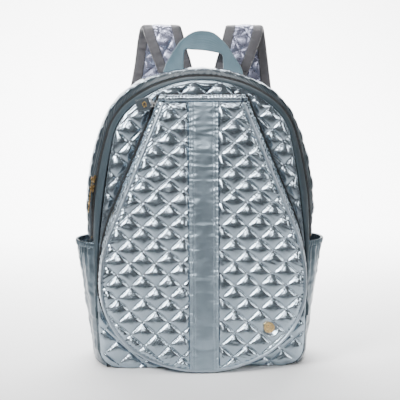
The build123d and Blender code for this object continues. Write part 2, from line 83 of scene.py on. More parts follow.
BAND = 20.0  # half width of the cover's plain centre band
HEM = 10.0
FLOOR_GAP = 0.3  # lowest point of the cloth round the base
PANEL_GAP = 0.6  # lowest point of the front and back panels
SQUEEZE = 0.985  # how far a panel's back edges sit inside its front edges
FRONT_BODIES = ("bag", "front_flap")
COVER_BODIES = ("racket_cover_lower", "racket_cover_upper")


def cover_y(z):
    return -100.5 + 21.5 * z / 400.0


# ---------------------------------------------------------------- outlines
def arc(cx, cz, r, a0, a1, n):
    a = np.radians(np.linspace(a0, a1, n, endpoint=False))
    return np.stack([cx + r * np.sin(a), cz + r * np.cos(a)], 1)


def line(p, q, n):
    t = np.linspace(0, 1, n, endpoint=False)[:, None]
    return np.array(p) * (1 - t) + np.array(q) * t


def mix(a, b, s):
    return {k: a[k] + (b[k] - a[k]) * s for k in a}


def arch_at(y):
    share = np.interp(y, [p[0] for p in PROFILE], [p[1] for p in PROFILE])
    return mix(FRONT_ARCH, REAR_ARCH, float(share))


def arch_points(size, inset=0.0):
    """The arch from its bottom left corner, over the top, to its bottom right corner."""
    c, s = size["crown"] - inset, size["shoulder"] - inset
    half, top = size["half"] - inset, size["top"] - inset
    a1, a2 = np.radians(size["t1"]), np.radians(size["t2"])
    side = (half - c * np.sin(a1) - s * (np.sin(a2) - np.sin(a1))) / (1 - np.sin(a2))
    cz = top - c
    sx, sz = (c - s) * np.sin(a1), cz + (c - s) * np.cos(a1)
    dx, dz = half - side, sz - (side - s) * np.cos(a2)
    k, foot = size["corner"] - inset, size["foot"] - inset
    low = (dx + side * np.sin(np.radians(size["t3"])), dz + side * np.cos(np.radians(size["t3"])))
    right = np.concatenate([
        arc(0, cz, c, 0, size["t1"], 75),
        arc(sx, sz, s, size["t1"], size["t2"], 45),
        arc(dx, dz, side, size["t2"], size["t3"], 110),
        line(low, (foot, inset + k), 90),
        arc(foot - k, inset + k, k, 90, 180, 26),
        [(foot - k, inset)],
    ])
    left = right[:0:-1] * [-1, 1]
    return np.concatenate([left, right])


def teardrop_points(size, inset=0.0, top=RACKET_TOP):
    """The racket pocket's outline from the top left, round the bottom, to the top right."""
    t = np.radians(28.0)
    base, half, side = size["base"] - inset, size["half"] - inset, size["side"] - inset
    foot = size["foot"] + inset
    corner = (half - base * np.sin(t)) / (1 - np.sin(t))
    mx, mz = half - corner, foot + base - (base - corner) * np.cos(t)
    sx, sz = half - side, mz
    join = (sx + side * np.sin(np.radians(90 - LEAN)), sz + side * np.cos(np.radians(90 - LEAN)))
    tip = (join[0] - (top - join[1]) * np.tan(np.radians(LEAN)), top)
    right = np.concatenate([
        line(tip, join, 170),
        arc(sx, sz, side, 90 - LEAN, 90, 80),
        arc(mx, mz, corner, 90, 152, 110),
        arc(0, foot + base, base, 152, 180, 80),
        [(0, foot)],
    ])
    left = right[:-1] * [-1, 1]
    return np.concatenate([left, right[::-1]])


def half_width(points, z):
    """Half-width of a symmetric outline at heights z."""
    right = points[points[:, 0] >= 0]
    order = np.argsort(right[:, 1])
    return np.interp(z, right[order, 1], right[order, 0])


# ---------------------------------------------------------------- noise and relief
def lattice(i, j, seed):
    h = (i.astype(np.int64) * 374761393 + j.astype(np.int64) * 668265263 + seed * 1442695041) & 0xFFFFFFFF
    h = ((h ^ (h >> 13)) * 1274126177) & 0xFFFFFFFF
    return ((h ^ (h >> 16)) & 0xFFFFFF) / float(0xFFFFFF)


def noise(x, y, seed=0):
    """Smooth noise from -1 to 1."""
    i, j = np.floor(x), np.floor(y)
    fx, fy = x - i, y - j
    ux, uy = fx * fx * (3 - 2 * fx), fy * fy * (3 - 2 * fy)
    a, b = lattice(i, j, seed), lattice(i + 1, j, seed)
    c, d = lattice(i, j + 1, seed), lattice(i + 1, j + 1, seed)
    return 2 * ((a * (1 - ux) + b * ux) * (1 - uy) + (c * (1 - ux) + d * ux) * uy) - 1


def folds(x, y, seed=0):
    """Creases with sharp crests, from -1 to 1."""
    n = noise(x, y, seed) + 0.5 * noise(2.1 * x, 2.1 * y, seed + 1)
    return 1 - 2 * np.abs(n)


QUILT_A, QUILT_B = 37.0, 34.0
QUILT_EDGE = np.hypot(QUILT_A / 2, QUILT_B / 2)
QUILT_GAP = 1 / np.hypot(1 / QUILT_A, 1 / QUILT_B)


def quilt(u, v, high=4.2, seed=1, crease=1.0):
    """Height of puffy diamond quilting with its stitched valleys, puckers and pulled creases."""
    u = u + 0.9 * noise(u / 40, v / 40, seed + 60)
    v = v + 0.9 * noise(u / 40, v / 40, seed + 61)
    p, q = u / QUILT_A + v / QUILT_B, u / QUILT_A - v / QUILT_B
    ip, iq = np.floor(p), np.floor(q)
    fp, fq = p - ip, q - iq
    r1, r2, r3, r4 = (lattice(ip, iq, seed + k) for k in range(4))
    body = np.sin(PI * fp) * np.sin(PI * fq)
    h = high * (0.85 + 0.3 * r1) * np.power(np.maximum(body, 0), 0.5)
    h += high * 0.4 * ((fp - 0.5) * (r2 - 0.5) + (fq - 0.5) * (r3 - 0.5)) * body
    turn = PI * r4
    along = u * np.cos(turn) + v * np.sin(turn)
    across = -u * np.sin(turn) + v * np.cos(turn)
    h += crease * 0.22 * folds(along / 19, across / 7.5, seed + 9) * body
    h += crease * 0.3 * noise(u / 12, v / 12, seed + 5) * body
    for f, t, k in ((fp, q, 0), (fq, p, 7)):
        near = np.minimum(f, 1 - f) * QUILT_GAP
        t = t * QUILT_EDGE
        wave = np.sin(2 * PI * t / 4.6 + 2.2 * noise(u / 11, v / 11, seed + 20 + k))
        strength = 0.5 + 0.5 * noise(u / 14, v / 14, seed + 30 + k)
        h += crease * 0.24 * wave * strength * np.exp(-near / 2.6)
        h -= 0.9 * np.exp(-((near / 1.1) ** 2))
    return h


# ---------------------------------------------------------------- mesh building
def mesh_object(name, verts, faces, material):
    """A smooth mesh from points in millimetres, turned to face outward."""
    data = bpy.data.meshes.new(name)
    data.from_pydata((np.asarray(verts, float).reshape(-1, 3) * MM).tolist(), [], faces)
    data.materials.append(material)
    data.polygons.foreach_set("use_smooth", [True] * len(data.polygons))
    data.validate()
    solid = bmesh.new()
    solid.from_mesh(data)
    if solid.calc_volume(signed=True) < 0:
        bmesh.ops.reverse_faces(solid, faces=solid.faces)
        solid.to_mesh(data)
    solid.free()
    data.update()
    obj = bpy.data.objects.new(name, data)
    bpy.context.scene.collection.objects.link(obj)
    return obj


def quads(rows, cols, start=0, wrap=False):
    """Faces of a grid of rows x cols points; wrap joins the last column to the first."""
    j, i = np.meshgrid(np.arange(rows - 1), np.arange(cols if wrap else cols - 1), indexing="ij")
    k = (i + 1) % cols
    f = np.stack([j * cols + i, j * cols + k, (j + 1) * cols + k, (j + 1) * cols + i], -1).reshape(-1, 4)
    return (f + start).tolist()


def side_edges(P, y, squeeze=1.0):
    """The two side edges of a grid, moved to depth y (a number or a function of z): the back of a shell."""
    back = np.stack([P[:, 0], P[:, -1]], 1)
    back[..., 0] *= squeeze
    back[..., 1] = y(back[..., 2]) if callable(y) else y
    return back


def behind_cover(gap):
    return lambda z: cover_y(z) + gap


def shell(name, P, back, material):
    """A closed piece: a fine front grid P (rows, cols, 3), and the back points of its side edges (rows, 2, 3)."""
    rows, cols = P.shape[:2]
    n = rows * cols
    verts = np.concatenate([P.reshape(-1, 3), back.reshape(-1, 3)])
    f = quads(rows, cols)
    a = lambda j: n + 2 * j
    b = lambda j: n + 2 * j + 1
    for j in range(rows - 1):
        f.append([a(j), a(j + 1), b(j + 1), b(j)])
        f.append([j * cols, (j + 1) * cols, a(j + 1), a(j)])
        f.append([j * cols + cols - 1, b(j), b(j + 1), (j + 1) * cols + cols - 1])
    f.append([a(0), b(0)] + [cols - 1 - i for i in range(cols)])
    last = (rows - 1) * cols
    f.append([last + i for i in range(cols)] + [b(rows - 1), a(rows - 1)])
    return mesh_object(name, verts, f, material)


def tube(name, path, radius, material, ripple, sides=10):
    """A round cord along path (n, 3), with frames that don't twist; ripple varies its radius."""
    n = len(path)
    tan = np.concatenate([path[1:], path[-1:]]) - np.concatenate([path[:1], path[:-1]])
    tan /= np.linalg.norm(tan, axis=1)[:, None]
    ref = np.array([0.0, 1.0, 0.0])
    side = np.cross(tan, ref)
    side /= np.maximum(np.linalg.norm(side, axis=1), 1e-6)[:, None]
    up = np.cross(side, tan)
    a = np.linspace(0, 2 * PI, sides, endpoint=False)
    r = radius + ripple
    ring = side[:, None] * np.cos(a)[None, :, None] + up[:, None] * np.sin(a)[None, :, None]
    return ring_solid(name, path[:, None] + r[:, None, None] * ring, material)


def ring_solid(name, P, material):
    """Closed piece from rows of closed rings, (rows, cols, 3)."""
    rows, cols = P.shape[:2]
    f = quads(rows, cols, 0, True)
    f.append(list(range(cols))[::-1])
    f.append([(rows - 1) * cols + i for i in range(cols)])
    return mesh_object(name, P, f, material)


def normals(P):
    du = np.gradient(P, axis=1)
    dv = np.gradient(P, axis=0)
    n = np.cross(du, dv)
    return n / np.maximum(np.linalg.norm(n, axis=2), 1e-9)[..., None]


def lengths(path):
    return np.concatenate([[0], np.cumsum(np.linalg.norm(np.diff(path, axis=0), axis=1))])


def at(s, d, path):
    """The path's rows at lengths s, where d are the lengths at its points."""
    return np.stack([np.interp(s, d, path[:, k]) for k in range(path.shape[1])], 1)


def resample(path, step):
    d = lengths(path)
    return at(np.linspace(0, d[-1], max(3, int(round(d[-1] / step)) + 1)), d, path)


def grid_run(P):
    """The length along a grid's middle row, for every point of the grid."""
    return np.broadcast_to(lengths(P[len(P) // 2]), P.shape[:2])


def stitches(name, runs, material, long=3.0, gap=1.0, thick=0.32):
    """Separate short stitches along each run of points, as one mesh of small spindles."""
    verts, faces = [], []
    for run in runs:
        d = lengths(run)
        if d[-1] < long:
            continue
        for s in np.arange(0, d[-1] - long, long + gap):
            c = at(np.array([s, s + long / 2, s + long]), d, run)
            axis = c[2] - c[0]
            size = np.linalg.norm(axis)
            if size < 0.5 * long:
                continue
            axis /= size
            side = np.cross(axis, [0.13, 1.0, 0.07])
            side /= np.linalg.norm(side)
            up = np.cross(side, axis)
            b = len(verts)
            verts.append(c[0])
            for m in (side, up, -side, -up):
                verts.append(c[1] + m * thick)
            verts.append(c[2])
            for i in range(4):
                j = (i + 1) % 4
                faces.append([b, b + 1 + i, b + 1 + j])
                faces.append([b + 5, b + 1 + j, b + 1 + i])
    return mesh_object(name, verts, faces, material)


# ---------------------------------------------------------------- materials
class Shader:
    """A Principled material whose colour, roughness and bump come from procedural textures."""

    def __init__(
        self, name, colour, metallic=0.0, rough=0.5, vary=0.1, rough_vary=0.1, spread=45.0, sheen=0.0, gloss=0.5
    ):
        self.material = bpy.data.materials.new(name)
        self.material.use_nodes = True
        self.material.diffuse_color = (*colour, 1)
        self.nodes, self.links = self.material.node_tree.nodes, self.material.node_tree.links
        self.bsdf = self.nodes["Principled BSDF"]
        self.coords = self.nodes.new("ShaderNodeTexCoord").outputs["Object"]
        self.height = None
        put = self.bsdf.inputs
        put["Metallic"].default_value = metallic
        put["Coat Weight"].default_value = 0.0
        put["Coat Roughness"].default_value = 0.25
        put["Sheen Weight"].default_value = sheen
        put["Sheen Roughness"].default_value = 0.4
        put["Specular IOR Level"].default_value = gloss
        self.tint(colour, vary, spread)
        tone = self.noise(spread * 3.1, 3)
        span = self.node("ShaderNodeMapRange", (tone, None, None, rough - rough_vary, rough + rough_vary))
        self.links.new(span.outputs[0], put["Roughness"])

    def node(self, kind, values=(), **settings):
        made_node = self.nodes.new(kind)
        for key, value in settings.items():
            setattr(made_node, key, value)
        for socket, value in zip(made_node.inputs, values):
            if value is None:
                continue
            if hasattr(value, "is_output"):
                self.links.new(value, socket)
            else:
                socket.default_value = value
        return made_node

    def noise(self, scale, detail=4.0, stretch=None, distortion=0.0):
        where = self.coords
        if stretch:
            where = self.node("ShaderNodeMapping", (where, None, None, stretch)).outputs[0]
        tex = self.nodes.new("ShaderNodeTexNoise")
        self.links.new(where, tex.inputs["Vector"])
        tex.inputs["Scale"].default_value = scale
        tex.inputs["Detail"].default_value = detail
        tex.inputs["Distortion"].default_value = distortion
        return tex.outputs["Fac"]

    def maths(self, op, a, b=None, c=None):
        return self.node("ShaderNodeMath", (a, b, c), operation=op).outputs[0]

    def tint(self, colour, vary, spread):
        ramp = self.nodes.new("ShaderNodeValToRGB")
        self.links.new(self.noise(spread, 5), ramp.inputs[0])
        ramp.color_ramp.elements[0].position = 0.3
        ramp.color_ramp.elements[1].position = 0.7
        for element, gain in zip(ramp.color_ramp.elements, (1 - vary, 1 + vary)):
            element.color = (*[min(1, c * gain) for c in colour], 1)
        self.links.new(ramp.outputs[0], self.bsdf.inputs["Base Color"])

    def add(self, height, size):
        """Adds a texture, from 0 to 1, as size millimetres of bump."""
        part = self.maths("MULTIPLY", height, size)
        self.height = part if self.height is None else self.maths("ADD", self.height, part)
        return self

    def ribs(self, axis, period, size):
        xyz = self.node("ShaderNodeSeparateXYZ", (self.coords,)).outputs["XYZ".index(axis)]
        wave = self.maths("SINE", self.maths("MULTIPLY", xyz, 2 * PI / (period * MM)))
        return self.add(self.maths("MULTIPLY_ADD", wave, 0.5, 0.5), size)

    def crinkle(self, scale, size, stretch=None):
        ridge = self.maths("ABSOLUTE", self.maths("SUBTRACT", self.noise(scale, 5, stretch, 0.4), 0.5))
        return self.add(ridge, -size * 2)

    def add_noise(self, scale, size):
        return self.add(self.noise(scale), size)

    def grain(self, scale, size):
        tex = self.node("ShaderNodeTexVoronoi")
        self.links.new(self.coords, tex.inputs["Vector"])
        tex.inputs["Scale"].default_value = scale
        return self.add(tex.outputs["Distance"], size)

    def done(self):
        bump = self.nodes.new("ShaderNodeBump")
        bump.inputs["Distance"].default_value = MM
        bump.inputs["Strength"].default_value = 1.0
        self.links.new(self.height, bump.inputs["Height"])
        self.links.new(bump.outputs[0], self.bsdf.inputs["Normal"])
        return self.material


def nylon(name, colour, rough, metallic, creases=0.08, gloss=0.5):
    s = Shader(name, colour, metallic, rough, vary=0.07, rough_vary=0.06, spread=60, gloss=gloss)
    s.crinkle(150, creases).crinkle(420, creases * 0.35)
    s.add(s.noise(1500, 2), 0.015)
    return s.ribs("X", 0.55, 0.006).ribs("Z", 0.55, 0.006).done()


def cloth(name, colour, rough=0.75, weave=0.9, size=0.06, sheen=0.25):
    s = Shader(name, colour, 0.0, rough, vary=0.12, sheen=sheen)
    s.ribs("X", weave, size).ribs("Z", weave * 1.1, size).ribs("Y", weave, size)
    return s.add(s.noise(900, 4), 0.08).done()


QUILTED = nylon("quilted_nylon", (0.30, 0.36, 0.41), 0.24, 0.96)
PLAIN = nylon("plain_nylon", (0.25, 0.31, 0.36), 0.34, 0.9, 0.05)
# SLATE, POCKET and BEVEL are much darker copies of the nylon: painted shade, which keeps the bands, base and pockets
# dark where the side and backdrop lights reach them
SLATE = nylon("slate_nylon", (0.022, 0.032, 0.04), 0.4, 0.4, 0.2, 0.2)
POCKET = nylon("pocket_nylon", (0.065, 0.088, 0.105), 0.3, 0.8, 0.2)
BEVEL = nylon("bevel_nylon", (0.03, 0.043, 0.052), 0.55, 0.1, 0.08, 0.15)
PIPING = nylon("piping_nylon", (0.28, 0.33, 0.38), 0.3, 0.85, 0.1)
STRAP = nylon("strap_quilt", (0.27, 0.28, 0.38), 0.28, 0.8, 0.1)
WEBBING = cloth("webbing", (0.085, 0.145, 0.18), 0.55, 1.5, 0.16)
BINDING = cloth("strap_binding", (0.055, 0.053, 0.06), 0.5, 1.1, 0.10)
BACK = cloth("back_fabric", (0.03, 0.037, 0.043), 0.9, 1.6, 0.25, 0.1)
LINING = cloth("lining", (0.10, 0.12, 0.14), 0.7, 0.7, 0.04)
# TAPE and COIL: a dark zip, taken down to near-black as painted shade of the recess the zips sit in; TAPE also covers
# the racket zip's flange and top strip
TAPE = cloth("zip_tape", (0.004, 0.005, 0.006), 0.9, 0.9, 0.05, 0.0)
COIL = Shader("zip_coil", (0.006, 0.007, 0.008), 0.0, 0.5, gloss=0.3).grain(2200, 0.05).done()
THREAD = Shader("thread", (0.34, 0.40, 0.45), 0.1, 0.5, vary=0.2).ribs("Z", 0.5, 0.08).done()
DARK_THREAD = Shader("dark_thread", (0.10, 0.12, 0.14), 0.0, 0.6, vary=0.2).ribs("Z", 0.5, 0.08).done()
BOARD = Shader("stiffener", (0.05, 0.05, 0.05), 0.0, 0.6).grain(900, 0.08).done()
PLASTIC = Shader("black_plastic", (0.018, 0.018, 0.02), 0.0, 0.42, rough_vary=0.08).grain(1600, 0.06).done()
GOLD = Shader("gold_metal", (0.78, 0.55, 0.26), 1.0, 0.26, vary=0.12, rough_vary=0.1, spread=160)
GOLD = GOLD.crinkle(700, 0.03).done()
SILVER = Shader("silver_metal", (0.78, 0.78, 0.78), 1.0, 0.3, vary=0.1, rough_vary=0.1, spread=160)
SILVER = SILVER.crinkle(700, 0.03).done()
LEATHER = Shader("tab_leather", (0.028, 0.036, 0.042), 0.0, 0.5, vary=0.2, gloss=0.3)
LEATHER = LEATHER.grain(1300, 0.16).add_noise(500, 0.1).done()


# ---------------------------------------------------------------- more mesh building
def unit(v):
    return v / np.maximum(np.linalg.norm(v, axis=-1, keepdims=True), 1e-9)


def sheet_solid(name, P, thick, material, away):
    """A closed piece of even thickness under the grid P, whose face looks away from the point away."""
    n = normals(P)
    if np.sum(n * (P - away)) < 0:
        n = -n
    rows, cols = P.shape[:2]
    count = rows * cols
    verts = np.concatenate([P.reshape(-1, 3), (P - n * thick).reshape(-1, 3)])
    f = quads(rows, cols)
    f += [[i + count for i in reversed(q)] for q in quads(rows, cols)]
    last = (rows - 1) * cols
    for i in range(cols - 1):
        f.append([i + 1, i, i + count, i + 1 + count])
        f.append([last + i, last + i + 1, last + i + 1 + count, last + i + count])
    for j in range(rows - 1):
        a, b = j * cols, (j + 1) * cols
        f.append([a, b, b + count, a + count])
        f.append([b + cols - 1, a + cols - 1, a + cols - 1 + count, b + cols - 1 + count])
    return mesh_object(name, verts, f, material)


def place(piece, body, replaces=(), blend=None):
    """Rides a piece on its body; given blend, it only bakes the piece's transform and leaves it on no body."""
    if blend:
        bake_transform(piece)
    else:
        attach(piece, body)
    if replaces:
        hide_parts(*replaces)


def place_over_fold(piece, bodies, node):
    """Puts a piece in place of the lower and upper halves of a node, baked where it stands rather than riding on
    either body.
    """
    place(piece, bodies[0], (f"{node}_lower", f"{node}_upper"), bodies[1])


def edge_distance(points, outline):
    """Distance from each (x, z) point to an outline."""
    line_points = resample(np.asarray(outline, float), 0.8)
    tree = KDTree(len(line_points))
    for i, p in enumerate(line_points):
        tree.insert((p[0], p[1], 0.0), i)
    tree.balance()
    flat = points.reshape(-1, 2)
    d = np.array([tree.find((p[0], p[1], 0.0))[2] for p in flat])
    return d.reshape(points.shape[:-1])


def smooth_step(x):
    x = np.clip(x, 0, 1)
    return x * x * (3 - 2 * x)


def beads(name, path, across, size, pitch, material):
    """Zip teeth: one small rounded bar per pitch, lying along across (one vector or one per path point)."""
    d = lengths(path)
    s = np.arange(pitch / 2, d[-1], pitch)
    c = at(s, d, path)
    t = unit(at(s + 0.3, d, path) - at(s - 0.3, d, path))
    a = unit(at(s, d, np.broadcast_to(across, path.shape)))
    up = unit(np.cross(t, a))
    long, wide, tall = size
    rings = [(-0.5, 0.55), (-0.3, 1.0), (0.3, 1.0), (0.5, 0.55)]
    turn = np.linspace(0, 2 * PI, 6, endpoint=False)
    stack = []
    for share, grow in rings:
        for w in turn:
            stack.append(c + a * long * share + t * (wide / 2 * grow * np.cos(w)) + up * (tall / 2 * grow * np.sin(w)))
    verts = np.stack(stack, 1).reshape(-1, 3)
    local = []
    for r in range(3):
        for i in range(6):
            k = (i + 1) % 6
            local.append([r * 6 + i, r * 6 + k, r * 6 + 6 + k, r * 6 + 6 + i])
    local.append([5, 4, 3, 2, 1, 0])
    local.append([18, 19, 20, 21, 22, 23])
    faces = [[v + 24 * i for v in q] for i in range(len(c)) for q in local]
    return mesh_object(name, verts, faces, material)


def xyz(outline, y):
    """Puts an (x, z) outline at depth y."""
    depth = np.broadcast_to(y, len(outline))
    return np.stack([outline[:, 0], depth, outline[:, 1]], 1)


# ---------------------------------------------------------------- camera, light and floor
cam_data = bpy.data.cameras.new("camera")
cam_data.sensor_width, cam_data.lens = 36.0, 103.0
camera = bpy.data.objects.new("camera", cam_data)
bpy.context.scene.collection.objects.link(camera)
camera.location = Vector((-112, -1691, 440)) * MM
AIM = Vector((-6, -95, 250)) * MM
camera.rotation_euler = (AIM - camera.location).to_track_quat("-Z", "Y").to_euler()
bpy.context.scene.camera = camera


def stage_material(name, colour, rough):
    """Pale floor whose colour falls off to dark grey well in front of the object: painted shade, a dark surround for
    the metallic cloth to reflect.
    """
    s = Shader(name, colour, 0.0, rough, vary=0.01, spread=3)
    depth = s.node("ShaderNodeSeparateXYZ", (s.coords,)).outputs[1]
    ramp = s.nodes.new("ShaderNodeValToRGB")
    s.links.new(s.node("ShaderNodeMapRange", (depth, -1.1, -0.45, 0.0, 1.0)).outputs[0], ramp.inputs[0])
    # painted shade: the far front of the floor is dark grey so the cloth has a dark surround to reflect
    ramp.color_ramp.elements[0].color = (0.14, 0.14, 0.145, 1)
    ramp.color_ramp.elements[1].color = (*colour, 1)
    s.links.new(ramp.outputs[0], s.bsdf.inputs["Base Color"])
    return s.grain(40, 0.02).done()


def softbox(name, place_at, aim, size, power, spread):
    data = bpy.data.lights.new(name, "AREA")
    data.shape, data.size, data.size_y = "RECTANGLE", size[0], size[1]
    data.energy, data.spread = power, np.radians(spread)
    lamp = bpy.data.objects.new(name, data)
    lamp.location = place_at
    lamp.rotation_euler = (Vector(aim) - Vector(place_at)).to_track_quat("-Z", "Y").to_euler()
    bpy.context.scene.collection.objects.link(lamp)


white = stage_material("stage_white", (0.9, 0.9, 0.9), 0.8)
bend = [(1.2 + 0.8 * np.sin(a), 0.8 - 0.8 * np.cos(a)) for a in np.linspace(0.1, PI / 2, 16)]
bend = [(-3.0, 0.0), (1.2, 0.0)] + bend + [(2.0, 3.2)]
sweep = [(x, y, z) for y, z in bend for x in (-4.0, 4.0)]
sweep_faces = [[2 * i, 2 * i + 1, 2 * i + 3, 2 * i + 2] for i in range(len(bend) - 1)]
stage = mesh_object("stage_backdrop", np.array(sweep) / MM, sweep_faces, white)
world = bpy.data.worlds.new("world")
world.use_nodes = True
world.node_tree.nodes["Background"].inputs[0].default_value = (0.93, 0.96, 1.0, 1)
world.node_tree.nodes["Background"].inputs[1].default_value = 0.05
bpy.context.scene.world = world
softbox("key_left", (-1.3, -1.5, 1.45), (0, 0, 0.25), (0.7, 0.8), 6.0, 40)
softbox("key_right", (1.6, -1.3, 0.9), (0, 0, 0.25), (0.3, 1.0), 1.3, 45)
softbox("top", (0, -0.55, 1.9), (0, 0, 0.25), (1.0, 0.4), 2.4, 70)
softbox("side_left", (-1.7, 0.2, 0.8), (0, 0, 0.25), (0.3, 1.0), 0.7, 60)
softbox("side_right", (1.7, 0.2, 0.8), (0, 0, 0.25), (0.3, 1.0), 0.7, 60)
softbox("back_light", (0, 1.7, 1.6), (0, 0, 0.3), (1.0, 0.6), 1.2, 60)
softbox("front_high", (-0.15, -2.1, 1.1), (0, 0, 0.3), (0.5, 0.22), 0.75, 40)
softbox("backdrop", (0, 1.25, 2.3), (0, 1.75, 0.3), (2.2, 0.5), 210, 105)


# ---------------------------------------------------------------- main front panel
def panel_grid(outline, cols):
    """Grid of (x, z) over the inside of an outline that runs over the top, rows from the top down."""
    right = outline[len(outline) // 2:]
    across = np.linspace(-1, 1, cols)
    x = right[:, :1] * across[None]
    z = np.repeat(right[:, 1:2], cols, 1)
    return np.stack([x, z], -1)


PANEL_INSET = 1.8  # the quilted panel stops short of the seam, and the plain band starts there
front_outline = arch_points(FRONT_ARCH, PANEL_INSET)
grid = panel_grid(front_outline, 200)
grid[:, :, 1] = np.maximum(grid[:, :, 1], PANEL_GAP)
gx, gz = grid[..., 0], grid[..., 1]
root_outline = teardrop_points(ROOT)
edge = edge_distance(grid, front_outline)
inner_edge = edge_distance(grid, root_outline)
inside_root = np.abs(gx) < half_width(root_outline, gz)
inside_root &= (gz < RACKET_TOP) & (gz > 1.5)
puff = quilt(gx - 6, gz + 9, high=3.8, seed=11)
puff *= smooth_step(edge / 9)
puff *= np.where(inside_root, 0.0, smooth_step((inner_edge - 3.0) / 9))
puff *= np.where(gz > RACKET_TOP, 0.75, 1.0)
roll = 1.6 * np.exp(-((edge / 2.2) ** 2))
y = FRONT_Y - puff - np.where(inside_root, 0.25 * noise(gx / 30, gz / 30, 5), 0) + roll
P = np.stack([gx, y, gz], -1)
panel = shell("front_panel", P, side_edges(P, FRONT_IN, SQUEEZE), QUILTED)
place_over_fold(panel, FRONT_BODIES, "front_panel")


# ---------------------------------------------------------------- bands round the body
def band_grid(ys, outer=0.0, z_from=0.0):
    """Grid over the body's side wall above z_from, one row per depth in ys."""
    P = np.stack([xyz(arch_points(arch_at(y_here), -outer), y_here) for y_here in ys])
    if z_from:
        mid = P[len(ys) // 2, :, 2]
        half = P.shape[1] // 2
        first = int(np.argmax(mid[:half] >= z_from))
        P = P[:, first:P.shape[1] - first]
    return P


CENTRE = np.array([0, 0, 200.0])  # inside the body; faces look away from it


def displaced(P, h):
    """The grid moved outward along its normals by h."""
    n = normals(P)
    if np.sum(n * (P - CENTRE)) < 0:
        n = -n
    return P + n * h[..., None]


ys = np.linspace(FRONT_Y + 1.2, ZIP_Y - STRIP, 10)
P = band_grid(ys)
u = grid_run(P)
v = np.broadcast_to(((ys - ys[0]) / (ys[-1] - ys[0]))[:, None], P.shape[:2])
h = 0.8 * np.sin(PI * v) ** 0.6 - PANEL_INSET * (1 - v) - 3.3 * v**1.5
h = h + 0.22 * noise(u / 22, v * 2, 3) + 0.12 * folds(u / 9, v * 2, 4) * v
P = displaced(P, h)
P[..., 2] = np.maximum(P[..., 2], FLOOR_GAP)
bevel = sheet_solid("front_bevel", P, 2.4, BEVEL, CENTRE)
place(bevel, "bag", ("front_gusset",), "front_flap")

ys = np.concatenate([np.linspace(ZIP_Y + STRIP, SWELL_Y, 12), np.linspace(SWELL_Y + 1.8, BACK_IN, 40)])
P = band_grid(ys)
u = grid_run(P)
v = np.broadcast_to(ys[:, None], P.shape[:2])
seam_front, seam_back = v - ys[0], ys[-1] - v
fade = smooth_step((seam_front - 9) / 10) * smooth_step(seam_back / 9)
h = quilt(u + 7, v - 3, high=3.4, seed=31) * fade
pulled = np.exp(-seam_front / 11) * smooth_step(seam_front / 2)
ripple = np.sin(2 * PI * u / 6.3 + 2.5 * noise(u / 13, v / 30, 41))
h += pulled * (1.1 * ripple * (0.6 + 0.4 * noise(u / 17, v / 9, 42)) + 0.4)
h += 0.8 * noise(u / 45, v / 40, 43)
P = displaced(P, h)
P[..., 2] = np.maximum(P[..., 2], FLOOR_GAP)
SPLIT = 11  # rows up to here are the plain band, and the rest is quilted
band = sheet_solid("gusset_band", P[:SPLIT + 1], 3.0, SLATE, CENTRE)
place(band, "bag", ("side_gusset",))
gusset = sheet_solid("side_gusset_quilt", P[SPLIT:], 3.0, QUILTED, CENTRE)
place(gusset, "bag", ("side_gusset", "base_panel"))

ys = np.linspace(ZIP_Y - STRIP + 0.3, ZIP_Y + STRIP - 0.3, 8)
P = band_grid(ys, -1.0)
low = P[len(ys) // 2, :, 2] < HINGE_Z - 0.6
half_count = int(np.argmin(low))
for side, part in (("left", P[:, :half_count]), ("right", P[:, P.shape[1] - half_count:])):
    part = part.copy()
    part[..., 2] = np.maximum(part[..., 2], FLOOR_GAP)
    strip_piece = sheet_solid(f"low_side_{side}", part, 2.0, SLATE, CENTRE)
    place(strip_piece, "bag")

x_half, y0, y1 = FRONT_ARCH["foot"] - FRONT_ARCH["corner"] + 2, FRONT_Y + 3, BACK_IN
gx, gy = np.meshgrid(np.linspace(-x_half, x_half, 130), np.linspace(y0, y1, 70))
edge = np.minimum(x_half - np.abs(gx), np.minimum(gy - y0, y1 - gy))
z = 0.25 + 0.5 * (1 - smooth_step(edge / 8)) + 0.18 * (noise(gx / 14, gy / 14, 71) + 1)
base = sheet_solid("base_cloth", np.stack([gx, gy, z], -1), 2.6, POCKET, CENTRE)
place(base, "bag")


# ---------------------------------------------------------------- main zip
def zip_row(label, y_tape, y_coil, body, sink):
    """One side of the main zip: its tape, sunk by sink at its two edges, and its teeth at y_coil."""
    tape = band_grid(np.linspace(*y_tape, 5), 0.0, HINGE_Z + 0.6)
    tape = displaced(tape, np.linspace(*sink, 5)[:, None] * np.ones(tape.shape[1])[None])
    piece = sheet_solid(f"main_zip_tape_{label}_cloth", tape, 0.7, TAPE, CENTRE)
    place(piece, body, (f"main_zip_tape_{label}",))
    row = band_grid([y_coil - 0.2, y_coil, y_coil + 0.2], np.mean(sink) + 0.9, HINGE_Z + 0.6)[1]
    teeth = beads(f"main_zip_teeth_{label}", row, (0, 1, 0), (2.0, 1.25, 1.9), 1.9, COIL)
    place(teeth, body, (f"main_zip_coil_{label}",))


zip_row("front", (ZIP_Y - STRIP + 0.1, ZIP_Y - 0.9), ZIP_Y - 1.6, "front_flap", (-2.6, -1.2))
zip_row("rear", (ZIP_Y + 0.9, ZIP_Y + STRIP - 0.1), ZIP_Y + 1.6, "bag", (-1.6, -0.2))


